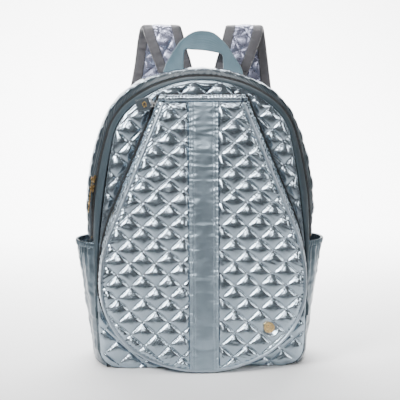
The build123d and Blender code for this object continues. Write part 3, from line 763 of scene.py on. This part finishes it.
# ---------------------------------------------------------------- back panel
rear_outline = arch_points(REAR_ARCH)
grid = panel_grid(rear_outline, 170)
grid[:, :, 1] = np.maximum(grid[:, :, 1], PANEL_GAP)
gx, gz = grid[..., 0], grid[..., 1]
edge = edge_distance(grid, rear_outline)
channel = np.abs(gx) - 12.0
for level in (118.0, 214.0, 310.0):
    channel = np.minimum(channel, np.abs(gz - level - 0.05 * np.abs(gx)) - 5.0)
crown = smooth_step(channel / 16) * smooth_step((edge - 6) / 18)
h = 1.2 + 5.2 * crown + 0.35 * noise(gx / 26, gz / 26, 51) - 2.0 * np.exp(-(((edge - 7) / 1.6) ** 2))
h += 0.35 * folds(gx / 30, gz / 12, 52) * np.exp(-np.maximum(channel, 0) / 12)
h *= smooth_step(edge / 5)
P = np.stack([gx, BACK_Y - 5.5 + h, gz], -1)
pad = shell("back_pad", P, side_edges(P, BACK_IN + 0.3, SQUEEZE), BACK)
place(pad, "bag", ("back_panel",))
PIPING_FOOT = 30  # the piping starts this far up
path = xyz(resample(rear_outline[rear_outline[:, 1] > PIPING_FOOT], 2.0) * [1.003, 1.001], BACK_IN + 2.6)
wob = noise(np.arange(len(path)) / 3.0, np.zeros(len(path)), 8)
piece = tube("back_piping_cord", path, 2.5, PIPING, 0.12 * wob)
place(piece, "bag", ("back_piping",))


# ---------------------------------------------------------------- racket pocket cover
face_outline = teardrop_points(FACE)
HEM_Z = RACKET_TOP - HEM
right_half = face_outline[len(face_outline) // 2:]
side_run = right_half[np.argsort(-right_half[:, 1])]
side_run = resample(side_run[side_run[:, 1] <= HEM_Z], 1.35)
cover_rows = side_run[side_run[:, 0] > BAND + 1.0]
BADGE = sum(node_box("cover_badge")) / 2


BADGE_FLAT = 7.5  # the quilt is pressed flat to this far from the badge's middle


def cover_half(sign):
    """The quilted cover on one side of the centre band."""
    cols = 96
    share = np.linspace(0, 1, cols)
    x = BAND + (cover_rows[:, :1] - BAND) * share[None]
    z = np.repeat(cover_rows[:, 1:2], cols, 1)
    points = np.stack([x, z], -1)
    edge = np.minimum(edge_distance(points, face_outline), np.maximum(HEM_Z - z, 0))
    seam = x - BAND
    h = quilt(sign * x - 6, z + 9, high=4.1, seed=101 if sign < 0 else 151)
    h *= smooth_step(edge / 8) * smooth_step(seam / 7 + 0.12)
    if sign > 0:
        h *= smooth_step((np.hypot(x - BADGE[0], z - BADGE[2]) - BADGE_FLAT) / 7)
    near = np.exp(-edge / 6)
    along = x * 0.4 + z
    h += near * smooth_step(edge / 1.5) * 0.55 * np.sin(2 * PI * along / 5.4 + 2 * noise(x / 12, z / 12, 77))
    y = cover_y(z) - h + 0.9 * near
    P = np.stack([sign * x, y, z], -1)
    rear = side_edges(P, behind_cover(2.0))
    rear[:, 1, 0] *= 0.995
    piece = shell(f"cover_quilt_{'left' if sign < 0 else 'right'}", P, rear, QUILTED)
    place_over_fold(piece, COVER_BODIES, "racket_cover_quilt")


cover_half(-1)
cover_half(1)

z_rows = np.arange(HEM_Z, 4.8, -1.3)
gx, gz = np.meshgrid(np.linspace(-BAND, BAND, 52), z_rows)
side_share = np.abs(gx) / BAND
h = 1.5 + 0.6 * noise(gx / 30, gz / 17, 81) + 0.45 * folds(gx / 34, gz / 9, 82) * smooth_step(side_share * 1.6)
BAND_CREASES = [  # height, slant and width of each crease across the centre band
    (348, 0.10, 3.0), (342, -0.06, 2.2), (320, 0.05, 3.6), (296, -0.08, 2.6), (213, 0.06, 3.4), (140, -0.05, 3.2),
]
BAND_STITCHES = (BAND - 2.2, BAND - 6.4)
for level, slant, wide in BAND_CREASES:
    h += 0.5 * np.exp(-(((gz - level - slant * gx - 1.2 * noise(gx / 14, gz / 50, level)) / wide) ** 2))
for stitch_x in BAND_STITCHES:
    h -= 0.75 * np.exp(-(((np.abs(gx) - stitch_x) / 0.8) ** 2))
ripple = np.sin(2 * PI * gz / 6.1 + 2 * noise(gx / 9, gz / 15, 83))
h += 0.5 * smooth_step((side_share - 0.9) * 10) + 0.35 * ripple * smooth_step((side_share - 0.7) * 4)
P = np.stack([gx, cover_y(gz) - h, gz], -1)
P[:, 0, 0] -= 0.6
P[:, -1, 0] += 0.6
piece = shell("cover_band", P, side_edges(P, behind_cover(2.0)), PLAIN)
place_over_fold(piece, COVER_BODIES, "racket_cover_band")

runs = []
for x in (*BAND_STITCHES, *[-x for x in BAND_STITCHES]):
    z = np.arange(HEM_Z - 1, 7, -1.0)
    runs.append(np.stack([np.full_like(z, x), cover_y(z) - 1.5, z], 1))
piece = stitches("cover_band_stitches", runs, THREAD)
place(piece, COVER_BODIES[0], (), COVER_BODIES[1])

inner = panel_grid(np.concatenate([side_run[::-1] * [-1, 1], side_run]), 60)
ix, iz = inner[..., 0] * 0.955, np.maximum(inner[..., 1], 8.6)
h = 0.5 + 0.5 * noise(ix / 18, iz / 18, 91)
P = np.stack([ix, cover_y(iz) + 5.0 - 0.4 + 0.4 * h, iz], -1)
piece = shell("cover_lining_pad", P, side_edges(P, behind_cover(2.3)), LINING)
place_over_fold(piece, COVER_BODIES, "racket_cover_padding")

root_run = teardrop_points(ROOT)
keep = face_outline[:, 1] <= HEM_Z
pair_face, pair_root = face_outline[keep], root_run[keep]
rows = np.linspace(0, 1, 15)
front_y = cover_y(pair_face[:, 1]) + 3.0
P = []
for t in rows:
    x, z = (pair_face[:, k] * (1 - t) + pair_root[:, k] * t for k in (0, 1))
    P.append(np.stack([x, front_y * (1 - t) + (RACKET_ZIP_Y - 2.6) * t, z], 1))
P = np.stack(P)
u = grid_run(P)
t = np.broadcast_to(rows[:, None], P.shape[:2])
pull_wave = np.sin(2 * PI * u / 6.2 + 2.6 * noise(u / 15, t, 95)) * (0.65 + 0.35 * noise(u / 19, t * 2, 96))
h = 0.5 + 1.2 * np.sin(PI * t) + 1.15 * pull_wave * (0.35 + 0.65 * np.abs(2 * t - 1)) * smooth_step((1 - t) * 12)
h = h + 0.5 * folds(u / 7, t * 3, 97)
P = displaced(P, h)
piece = sheet_solid("racket_gusset_cloth", P, 1.6, QUILTED, CENTRE + [0, -40, 0])
place_over_fold(piece, COVER_BODIES, "racket_gusset")

path = resample(xyz(pair_face * [1.004, 1.0], cover_y(pair_face[:, 1]) + 1.2), 1.6)
wob = noise(np.arange(len(path)) / 2.6, np.zeros(len(path)), 98)
piece = tube("cover_piping_cord", path, 2.3, PIPING, 0.16 * wob)
place_over_fold(piece, COVER_BODIES, "racket_cover_piping")

# Hem: from the left root, round the corner, across the cover, to the right root.
face_top, root_top = half_width(face_outline, RACKET_TOP - 5), half_width(root_run, RACKET_TOP - 5)
hem_y = cover_y(RACKET_TOP - 5) + 1.2
corner = 5.0
turn = np.linspace(0, PI / 2, 8)
plan = np.concatenate([
    line((-root_top + 0.5, RACKET_ZIP_Y - 2.8), (-face_top, hem_y + corner), 8),
    np.stack([-face_top + corner - corner * np.cos(turn), hem_y + corner - corner * np.sin(turn)], 1),
    line((-face_top + corner + 1, hem_y), (face_top - corner - 1, hem_y), 60),
    np.stack([face_top - corner + corner * np.sin(turn), hem_y + corner - corner * np.cos(turn)], 1),
    line((face_top, hem_y + corner + 0.5), (root_top - 0.5, RACKET_ZIP_Y - 2.8), 8),
])
plan = resample(plan, 0.9)
levels = np.linspace(RACKET_TOP - HEM + 0.3, RACKET_TOP, 14)
HEM_MIDDLE = 392  # the hem leans in and narrows from this height
P = []
for z in levels:
    up = z - HEM_MIDDLE
    P.append(np.stack([plan[:, 0] * (1 - up * 0.0062), plan[:, 1] + up * 0.054, np.full(len(plan), z)], 1))
P = np.stack(P)
u = grid_run(P)
t = np.broadcast_to(((levels - levels[0]) / HEM)[:, None], P.shape[:2])
ripple = np.sin(2 * PI * u / 4.8 + 1.8 * noise(u / 9, t, 99))
h = 2.2 * np.sin(PI * np.clip(t, 0, 1)) ** 0.7 + 0.9 * ripple * (0.6 + 0.4 * noise(u / 11, t, 90))
P = displaced(P, h)
piece = sheet_solid("cover_hem_cloth", P, 2.6, QUILTED, CENTRE + [0, 0, 190])
place(piece, "racket_cover_upper", ("racket_cover_hem",))


# ---------------------------------------------------------------- racket pocket zip
for label, y_here, bodies in (("front", -68.2, COVER_BODIES), ("rear", -65.0, FRONT_BODIES)):
    row = resample(xyz(teardrop_points(ROOT, 1.2, RACKET_TOP - 1), y_here), 1.0)
    row = row[row[:, 2] > 2.2]
    teeth = beads(f"racket_teeth_{label}", row, (0, 1, 0), (2.0, 1.25, 1.8), 1.9, COIL)
    place_over_fold(teeth, bodies, f"racket_zip_coil_{label}")

outer_tape, inner_tape = (teardrop_points(ROOT, inset, RACKET_TOP - 1) for inset in (-3.2, 2.6))
P = []
for t in np.linspace(0, 1, 6):
    P.append(xyz(outer_tape * (1 - t) + inner_tape * t, FRONT_Y - 1.5 - 0.5 * np.sin(PI * t)))
P = np.stack(P)
P[..., 2] = np.maximum(P[..., 2], 0.8)
piece = sheet_solid("racket_zip_flange_tape", P, 1.2, TAPE, CENTRE)
place_over_fold(piece, FRONT_BODIES, "racket_zip_flange")
gx, gz = np.meshgrid(np.linspace(-54, 54, 60), np.linspace(RACKET_TOP - 3.5, RACKET_TOP + 1.5, 6))
P = np.stack([gx, FRONT_Y - 2.6 - 0.25 * noise(gx / 5, gz, 12), gz], -1)
piece = sheet_solid("racket_top_strip_cloth", P, 2.0, TAPE, CENTRE)
place(piece, "front_flap", ("racket_top_strip",))


# ---------------------------------------------------------------- side pockets
def through(p, q, r, n):
    """n points of the circular arc through three plan points."""
    (ax, ay), (bx, by), (cx, cy) = p, q, r
    d = 2 * (ax * (by - cy) + bx * (cy - ay) + cx * (ay - by))
    ux = ((ax**2 + ay**2) * (by - cy) + (bx**2 + by**2) * (cy - ay) + (cx**2 + cy**2) * (ay - by)) / d
    uy = ((ax**2 + ay**2) * (cx - bx) + (bx**2 + by**2) * (ax - cx) + (cx**2 + cy**2) * (bx - ax)) / d
    a0, a1 = np.arctan2(ay - uy, ax - ux), np.arctan2(cy - uy, cx - ux)
    if a1 < a0:
        a1 += 2 * PI
    radius = np.hypot(ax - ux, ay - uy)
    a = np.linspace(a0, a1, n)
    return np.stack([ux + radius * np.cos(a), uy + radius * np.sin(a)], 1)


POCKET_FOOT, POCKET_TOP, ELASTIC = 3.0, 184.0, 8.0


def pocket_grid(levels, n):
    rows = []
    for z in levels:
        bulge = -2 + 25 * (z - POCKET_FOOT) / (POCKET_TOP - POCKET_FOOT)
        plan = through((140, -59), (160 + bulge, -2), (152, 48), n)
        rows.append(np.stack([plan[:, 0], plan[:, 1], np.full(n, z)], 1))
    return np.stack(rows)


for side, sign in (("left", -1), ("right", 1)):
    levels = np.linspace(POCKET_FOOT, POCKET_TOP - ELASTIC, 120)
    P = pocket_grid(levels, 100)
    u = grid_run(P)
    z = P[..., 2]
    t = (z - POCKET_FOOT) / (POCKET_TOP - POCKET_FOOT)
    ends = smooth_step(u / 12) * smooth_step((u.max() - u) / 12)
    seed = 201 if sign < 0 else 231
    h = 1.6 * folds(u / 24 + 0.15 * noise(z / 40, u / 60, seed), z / 75, seed + 1) * (0.4 + 0.6 * t)
    ripple = np.sin(2 * PI * u / 9.5 + 5.5 * noise(u / 26, z / 60, seed + 2))
    h += 1.2 * ripple * np.exp(-(POCKET_TOP - ELASTIC - z) / 22)
    h += 0.8 * folds(u / 26, z / 16, seed + 3) + 1.1 * folds(u / 60 + z / 60, z / 38, seed + 4) * (1 - t)
    h *= ends * smooth_step(t * 18)
    P = displaced(P, h)
    P[..., 0] *= sign
    piece = sheet_solid(f"side_pocket_cloth_{side}", P, 1.6, POCKET, CENTRE)
    place(piece, "bag", (f"side_pocket_{side}",))
    levels = np.linspace(POCKET_TOP - ELASTIC - 0.6, POCKET_TOP, 12)
    P = pocket_grid(levels, 190)
    u = grid_run(P)
    t = np.broadcast_to(np.linspace(0, 1, 12)[:, None], P.shape[:2])
    ripple = np.sin(2 * PI * u / 4.3 + 1.6 * noise(u / 9, t, seed + 6))
    h = 0.9 + 1.1 * np.sin(PI * t) ** 0.6 + 0.75 * ripple * (0.7 + 0.3 * noise(u / 12, t, seed + 7))
    P = displaced(P, h)
    P[..., 0] *= sign
    piece = sheet_solid(f"pocket_elastic_hem_{side}", P, 2.6, POCKET, CENTRE)
    place(piece, "bag", (f"pocket_elastic_{side}",))


# ---------------------------------------------------------------- inside pieces
gx, gz = np.meshgrid(np.linspace(-120, 120, 90), np.linspace(14, 289, 100))
sleeve_edge = np.minimum(120 - np.abs(gx), np.minimum(gz - 14, 289 - gz))
SLEEVE_FRONT_Y, SLEEVE_BACK_Y = 24.4, 47.4
slack = 0.9 * (noise(gx / 40, gz / 40, 301) + 1) * smooth_step(sleeve_edge / 20) * 0.4
P = np.stack([gx, SLEEVE_FRONT_Y - slack, gz], -1)
piece = shell("laptop_sleeve_cloth", P, side_edges(P, SLEEVE_BACK_Y), LINING)
place(piece, "bag", ("laptop_sleeve",))

P = np.stack([xyz(arch_points(arch_at(y_here), 4.6), y_here) for y_here in np.linspace(23.4, 40.6, 12)])
top_part = (np.abs(P[5, :, 0]) < 63) & (P[5, :, 2] > 300)
piece = sheet_solid("handle_patch_cloth", P[:, top_part], 1.2, LINING, CENTRE)
place(piece, "bag", ("handle_reinforcement",))


def spline(rows, step):
    """Rounds a run of stations (n, k), centre first, with a Catmull-Rom curve, then spaces it evenly."""
    rows = np.asarray(rows, float)
    ends = np.concatenate([[2 * rows[0] - rows[1]], rows, [2 * rows[-1] - rows[-2]]])
    out = []
    for i in range(1, len(ends) - 2):
        p0, p1, p2, p3 = ends[i - 1:i + 3]
        d0, d1, d2 = (max(np.linalg.norm(b[:3] - a[:3]), 1e-6) ** 0.5 for a, b in ((p0, p1), (p1, p2), (p2, p3)))
        m1 = (p1 - p0) / d0 - (p2 - p0) / (d0 + d1) + (p2 - p1) / d1
        m2 = (p2 - p1) / d1 - (p3 - p1) / (d1 + d2) + (p3 - p2) / d2
        t = np.linspace(0, 1, 24, endpoint=False)[:, None]
        a = (2 * t**3 - 3 * t**2 + 1) * p1 + (t**3 - 2 * t**2 + t) * d1 * m1
        out.append(a + (-2 * t**3 + 3 * t**2) * p2 + (t**3 - t**2) * d1 * m2)
    out = np.concatenate(out + [[rows[-1]]])
    d = lengths(out[:, :3])
    return at(np.linspace(0, d[-1], int(d[-1] / step) + 1), d, out)


# ---------------------------------------------------------------- carry handle
HANDLE_Y = 32.0
HANDLE_SWAY = 7.0  # how far the soft handle leans to the right
crown_here = arch_at(HANDLE_Y)
crown_z = crown_here["top"] - crown_here["crown"]
OUTER_RUN = [
    (-60, 424), (-57.5, 434), (-51, 447), (-42, 461), (-31, 475), (-15, 486.5), (0, 489), (16, 485.5), (31, 472),
    (42, 457), (51, 444), (57.5, 433), (60, 424),
]
INNER_RUN = [
    (-30, 424), (-30, 434), (-30, 446), (-29.6, 458), (-27.6, 462.4), (-14, 462), (0, 461), (14, 459), (28, 456),
    (31, 452), (31, 444), (31, 434), (31, 424),
]
outer, inner = (spline([(x, 0, z) for x, z in run], 0.5)[:, [0, 2]] for run in (OUTER_RUN, INNER_RUN))
outer, inner = (resample(run, lengths(run)[-1] / 149)[:150] for run in (outer, inner))
turn = np.arange(len(outer))
share = np.linspace(0, 1, 17)
P = np.stack([outer * (1 - s) + inner * s for s in share])
floor_here = crown_z + np.sqrt(np.maximum((crown_here["crown"] + 1.4) ** 2 - P[..., 0] ** 2, 0))
P[..., 1] = np.maximum(P[..., 1], floor_here)
bow = 1.4 * np.sin(PI * share)[:, None] * np.ones(len(turn))[None]
rib = 0.22 * np.cos(2 * PI * 8 * share)[:, None]
twist = 0.9 * noise(turn[None] / 24.0, share[:, None] * 1.2, 311)
P = np.stack([P[..., 0] + HANDLE_SWAY, HANDLE_Y - 1.5 + bow * 0.6 - rib + twist * 0.6, P[..., 1]], -1)
handle = sheet_solid("carry_handle_webbing", P, 2.4, WEBBING, np.array([0, 400.0, 450.0]))
place(handle, "handle", ("carry_handle",))


# ---------------------------------------------------------------- shoulder straps
STRAP_Y, LOOP, LOOP_TOP = BACK_Y + 5, 17.0, 478.0
FALL_Y = STRAP_Y + 2 * LOOP
PAD_THICK = 10.0
PAD_PATH = [
    ((-44, STRAP_Y, 436), (1, 0, 0.24), 50),
    ((-52, STRAP_Y, 458), (1, 0, 0.24), 52),
    ((-58, STRAP_Y + 1, LOOP_TOP), (1, 0, 0.2), 54),
    ((-62, STRAP_Y + 0.3 * LOOP, LOOP_TOP + 0.72 * LOOP), (1, 0, 0.1), 55),
    ((-64, STRAP_Y + LOOP, LOOP_TOP + LOOP), (1, 0, 0), 56),
    ((-66, FALL_Y - 0.3 * LOOP, LOOP_TOP + 0.72 * LOOP), (1, 0, -0.1), 58),
    ((-68, FALL_Y, LOOP_TOP), (1, 0, -0.2), 60),
    ((-74, FALL_Y + 3, 420), (1, 0, -0.2), 64),
    ((-88, FALL_Y + 1, 340), (1, 0, -0.16), 64),
    ((-99, FALL_Y - 5, 260), (1, 0, -0.12), 60),
    ((-106, FALL_Y - 12, 190), (1, 0, -0.1), 52),
]


def frames(path):
    """Centre, width direction, outward direction, width and run along a station path."""
    centre, across, wide = path[:, :3], path[:, 3:6], path[:, 6]
    along = unit(np.gradient(centre, axis=0))
    across = unit(across - along * np.sum(across * along, 1, keepdims=True))
    return centre, across, unit(np.cross(across, along)), wide, lengths(centre)


def stations(rows):
    """Flat rows of centre, width direction and width."""
    return [[*centre, *across, wide] for centre, across, wide in rows]


def mirror_grid(P, sign):
    P = P.copy()
    P[..., 0] *= -sign
    return P


def swayed(P, sign):
    """Mirrors a strap grid to its side, then leans its upper part to the right."""
    P = mirror_grid(P, sign)
    falling = smooth_step((P[..., 1] - STRAP_Y - 6) / 20)
    P[..., 0] += SWAY * (1 - falling * (1 - smooth_step((P[..., 2] - 250) / 200)))
    return P


ROOT_PATH = [
    ((-40, STRAP_Y - 1.5, 421), (1, 0, 0.24), 48),
    ((-42, STRAP_Y - 0.5, 429), (1, 0, 0.24), 49),
    ((-45.4, STRAP_Y, 441), (1, 0, 0.24), 49.4),
]
BINDING_WIDE = 14.0
SWAY = 10.0  # how far the soft straps lean to the right at their tops


def pad_rings(sign, run_path=PAD_PATH):
    """The quilted strap as closed rings; its puffs fade out under the bindings."""
    centre, across, out, wide, s = frames(spline(stations(run_path), 1.6))
    half_cols = 40
    q = np.linspace(-1, 1, half_cols)
    rings = []
    for face in (1, -1):
        pos = q if face > 0 else q[::-1]
        u = pos[None] * (wide[:, None] / 2 - 1.2)
        run = np.repeat(s[:, None], half_cols, 1)
        edge = wide[:, None] / 2 - np.abs(u)
        soft = smooth_step((edge - (BINDING_WIDE - 3)) / 8)
        seed = 401 + face + (0 if sign < 0 else 20)
        h = quilt(u * 1.18 + 4, run * 1.18, high=2.9, seed=seed, crease=0.6) * soft
        if face < 0:
            h = h * 0.85
        tight = 2.6 + (PAD_THICK / 2 - 3.4) * smooth_step((edge - 1) / 12)
        n = face * (tight + h * 0.62)
        rings.append(centre[:, None] + across[:, None] * u[..., None] + out[:, None] * n[..., None])
    return np.concatenate(rings, 1)


def binding_rings(edge_sign, sign, run_path=PAD_PATH):
    """A folded band of webbing round one edge of the strap pad."""
    centre, across, out, wide, s = frames(spline(stations(run_path), 1.8))
    turn, flat = np.linspace(0.3, PI - 0.3, 7), np.linspace(BINDING_WIDE, 2.0, 8)
    reach = np.concatenate([flat, 2.0 - 3.2 * np.sin(turn), np.linspace(2.0, BINDING_WIDE, 8)])
    lift = np.concatenate([np.linspace(4.9, 3.9, 8), 3.5 * np.cos(turn), -np.linspace(3.9, 4.9, 8)])
    inner_reach = np.array([BINDING_WIDE, 2.4, 0.6, 2.4, BINDING_WIDE])
    inner_lift = np.array([-3.7, -2.6, 0.0, 2.6, 3.7])
    reach, lift = np.concatenate([reach, inner_reach]), np.concatenate([lift, inner_lift])
    seed = 431 + edge_sign + 3 * sign
    wob = 0.35 * noise(s[:, None] / 7, reach[None] / 8, seed)
    wob = wob + 0.3 * noise(s[:, None] / 2.6, lift[None] / 6, seed + 1)
    u = edge_sign * (wide[:, None] / 2 - reach[None])
    n = lift[None] + np.sign(lift)[None] * wob
    return centre[:, None] + across[:, None] * u[..., None] + out[:, None] * n[..., None]


def flat_strap(rows, thick, step=1.6):
    """Ribbed webbing with selvedges along stations, as closed rings."""
    centre, across, out, wide, s = frames(spline(stations(rows), step))
    q = np.linspace(-1, 1, 21)
    rib = 0.14 * np.cos(2 * PI * 7 * q)
    rings = []
    for face in (1, -1):
        pos = q if face > 0 else q[::-1]
        u = pos[None] * wide[:, None] / 2
        n = face * (thick / 2 - 0.35 * smooth_step((np.abs(pos) - 0.88) * 12) + rib)[None]
        n = n + 0.25 * noise(s[:, None] / 18, pos[None], 461)
        rings.append(centre[:, None] + across[:, None] * u[..., None] + out[:, None] * n[..., None])
    return np.concatenate(rings, 1)


LOCK = np.array([-108.5, FALL_Y - 14.5, 166.0])
WEB = 25.0
TAIL_PATH = [
    (LOCK + [-0.6, 3.6, 3], (1, 0, -0.08), WEB),
    (LOCK + [-2.0, 5.2, -14], (1, 0, -0.08), WEB),
    (LOCK + [-3.2, 4.3, -42], (1, 0, -0.08), WEB),
    (LOCK + [-4.0, 3.6, -62], (1, 0, -0.08), WEB),
]
LOOP_PATH = [
    ((-106.6, FALL_Y - 12.4, 189.4), (1, 0, -0.1), WEB),
    ((-107.3, FALL_Y - 13.1, 183.7), (1, 0, -0.1), WEB),
]
WEB_PATH = [
    (LOCK + [-1.6, -2.6, -19], (1, 0, -0.1), WEB),
    ((-115.5, LOCK[1] - 5, 120), (1, 0.1, -0.25), WEB),
    ((-125.5, LOCK[1] - 7, 92), (1, 0.15, -0.45), WEB),
    ((-136.5, LOCK[1] - 11, 68), (1, 0.2, -0.6), WEB),
    ((-145.5, BACK_Y + 4.0, 48), (1, 0.2, -0.7), WEB),
    ((-148.5, BACK_Y + 2.6, 38), (1, 0.1, -0.7), WEB),
]
TAB_CORNERS = np.array([(-158, 12), (-108, 12), (-132, 52), (-152, 38)], float)
ANCHOR_CORNERS = np.array([(-74, 384), (-14, 384), (-14, 419), (-74, 409)], float)


def patch(name, corners, y0, y1, material, sign):
    """A sewn flat patch from four (x, z) corners, softly domed, with pressed edges."""
    s, t = np.meshgrid(np.linspace(0, 1, 40), np.linspace(0, 1, 40))
    a, b, c, d = corners
    flat = (1 - s)[..., None] * (1 - t)[..., None] * a + s[..., None] * (1 - t)[..., None] * b
    flat = flat + s[..., None] * t[..., None] * c + (1 - s)[..., None] * t[..., None] * d
    rim = np.minimum(np.minimum(s, 1 - s), np.minimum(t, 1 - t))
    h = (y1 - y0) * (0.62 + 0.38 * smooth_step(rim * 9)) - 0.3 * np.exp(-(((rim - 0.1) / 0.025) ** 2))
    h = h + 0.1 * noise(s * 9, t * 9, 471)
    P = np.stack([flat[..., 0], y0 + h, flat[..., 1]], -1)
    return shell(name, mirror_grid(P, sign), mirror_grid(side_edges(P, y0), sign), material)


PATCH_INSET = 0.12  # of the patch's width, from each edge to its stitches


def patch_run(corners, y, sign):
    """The box and cross of stitches on a patch."""
    middle = corners.mean(0)
    loop = middle + (np.concatenate([corners, corners[:1]]) - middle) * (1 - PATCH_INSET * 2)
    cross = np.array([loop[0], loop[2]]), np.array([loop[1], loop[3]])
    runs = [resample(xyz(part, y), 1.0) for part in (loop, *cross)]
    return [mirror_grid(run, sign) for run in runs]


for side, sign in (("left", -1), ("right", 1)):
    body = f"strap_{side}"
    piece = ring_solid(f"strap_pad_quilt_{side}", swayed(pad_rings(sign), sign), STRAP)
    place(piece, body, (f"strap_pad_{side}",))
    piece = ring_solid(f"strap_root_quilt_{side}", swayed(pad_rings(sign, ROOT_PATH), sign), STRAP)
    place(piece, "bag")
    for edge_sign, label in ((-1, "outer"), (1, "inner")):
        piece = ring_solid(f"strap_binding_{label}_{side}", swayed(binding_rings(edge_sign, sign), sign), BINDING)
        place(piece, body)
        root = swayed(binding_rings(edge_sign, sign, ROOT_PATH), sign)
        place(ring_solid(f"strap_root_binding_{label}_{side}", root, BINDING), "bag")
    runs = []
    centre, across, out, wide, s = frames(spline(stations(PAD_PATH), 1.0))
    for edge_sign in (-1, 1):
        for face in (-1, 1):
            run = centre + across * (edge_sign * (wide / 2 - BINDING_WIDE + 1.4))[:, None] + out * (face * 4.95)
            runs.append(swayed(run, sign))
    piece = stitches(f"strap_stitches_{side}", runs, DARK_THREAD)
    place(piece, body)
    tail = ring_solid(f"webbing_tail_{side}", mirror_grid(flat_strap(TAIL_PATH, 1.4), sign), WEBBING)
    place(tail, body, (f"adjuster_webbing_{side}",))
    loop = ring_solid(f"webbing_loop_{side}", mirror_grid(flat_strap(LOOP_PATH, 1.4, 0.8), sign), WEBBING)
    place(loop, body)
    web = ring_solid(f"lower_webbing_{side}", mirror_grid(flat_strap(WEB_PATH, 1.4), sign), WEBBING)
    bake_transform(web)
    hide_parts(f"strap_webbing_{side}")
    tab = patch(f"corner_tab_{side}", TAB_CORNERS, BACK_Y + 0.2, BACK_Y + 1.6, WEBBING, sign)
    place(tab, "bag", (f"strap_corner_tab_{side}",))
    piece = patch(f"anchor_patch_{side}", ANCHOR_CORNERS, BACK_Y + 0.1, BACK_Y + 3.1, BINDING, sign)
    place(piece, "bag", (f"strap_anchor_patch_{side}",))
    runs = patch_run(TAB_CORNERS, BACK_Y + 1.45, sign) + patch_run(ANCHOR_CORNERS, BACK_Y + 2.95, sign)
    piece = stitches(f"patch_stitches_{side}", runs, THREAD)
    place(piece, "bag")


# ---------------------------------------------------------------- racket pull's tab
TAB_DROOP = math.radians(14)
TAB_ALONG = np.array([math.cos(TAB_DROOP), 0, math.sin(TAB_DROOP)])
TAB_UP = np.array([-math.sin(TAB_DROOP), 0, math.cos(TAB_DROOP)])
TAB_HALF_LONG, TAB_HALF_TALL, TAB_HALF_THICK = 10.0, 9.0, 1.2
TAB_SEAM = 5.6  # where the folded strap is sewn shut behind the ring's bar
TAB_STITCH_IN = 1.4  # from the edge to the row of stitches
tab_middle = sum(node_box("racket_pull_tab")) / 2


def tab_point(along, y, up):
    return tab_middle + TAB_ALONG * along + np.array([0, y, 0]) + TAB_UP * up


def tab_half_thick(along):
    """Half thickness: rolled round the ring's bar, pressed in at the seams and thin at the cut end."""
    roll = np.sqrt(max(0.0, 1 - max(0.0, (along - 8.6) / 1.42) ** 2))
    seam = 0.26 * math.exp(-(((along - TAB_SEAM) / 0.6) ** 2))
    hem = 0.2 * math.exp(-(((along + TAB_HALF_LONG - TAB_STITCH_IN) / 0.6) ** 2))
    cut = 0.3 * max(0.0, (-along - 9.5) / 0.5)
    return TAB_HALF_THICK * roll - seam - hem - cut


# Two plies show at the long edges as a groove between two rounded lips: (share of the thickness, set in).
TAB_LIPS = [(-1.0, 0.4), (-0.85, 0.1), (-0.5, 0.0), (-0.12, 0.3), (0.12, 0.3), (0.5, 0.0), (0.85, 0.1), (1.0, 0.4)]
tab_rings = []
for along in np.concatenate([[-10, -9.8], np.linspace(-9.4, 8.6, 46), [9.0, 9.4, 9.7, 9.9, 10.0]]):
    thick = tab_half_thick(along)
    tall = TAB_HALF_TALL - 0.5 * max(0.0, abs(along) - 9.4)
    ups = np.linspace(-tall + 0.6, tall - 0.6, 25)
    dent = 0.14 * np.exp(-(((tall - np.abs(ups) - TAB_STITCH_IN) / 0.5) ** 2)) * (along < TAB_SEAM)
    ring = [tab_point(along, -(thick - d), u) for u, d in zip(ups, dent)]
    ring += [tab_point(along, share * thick, tall - inset) for share, inset in TAB_LIPS]
    ring += [tab_point(along, thick - d, u) for u, d in zip(ups[::-1], dent[::-1])]
    ring += [tab_point(along, -share * thick, inset - tall) for share, inset in TAB_LIPS]
    tab_rings.append(ring)
piece = ring_solid("racket_tab", np.array(tab_rings), LEATHER)
place(piece, "racket_zip_tab", ("racket_pull_tab",))
tab_runs = []
for face in (-1, 1):
    far, near, reach = TAB_STITCH_IN - TAB_HALF_LONG, TAB_SEAM, TAB_HALF_TALL - TAB_STITCH_IN
    corners = [(near, -reach), (far, -reach), (far, reach), (near, reach), (near, -reach)]
    for (a0, u0), (a1, u1) in zip(corners[:-1], corners[1:]):
        steps = zip(np.linspace(a0, a1, 13), np.linspace(u0, u1, 13))
        tab_runs.append(np.array([tab_point(a, face * (tab_half_thick(a) - 0.04), u) for a, u in steps]))
piece = stitches("racket_tab_stitches", tab_runs, THREAD, long=1.5, gap=0.6, thick=0.16)
place(piece, "racket_zip_tab")


# ---------------------------------------------------------------- CAD nodes that stay
FINISHES = {
    GOLD: [
        "main_slider_upper", "main_slider_lower", "main_pull_upper", "main_pull_lower",
        "cover_badge", "racket_pull_stud", "main_zip_stops",
    ],
    SILVER: ["racket_slider", "racket_pull_ring"],
    PLASTIC: ["strap_adjuster_left", "strap_adjuster_right"],
    BOARD: ["base_board", "back_frame_sheet"],
}
for material, names in FINISHES.items():
    for name in names:
        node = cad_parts[name]
        node.data.materials.clear()
        node.data.materials.append(material)
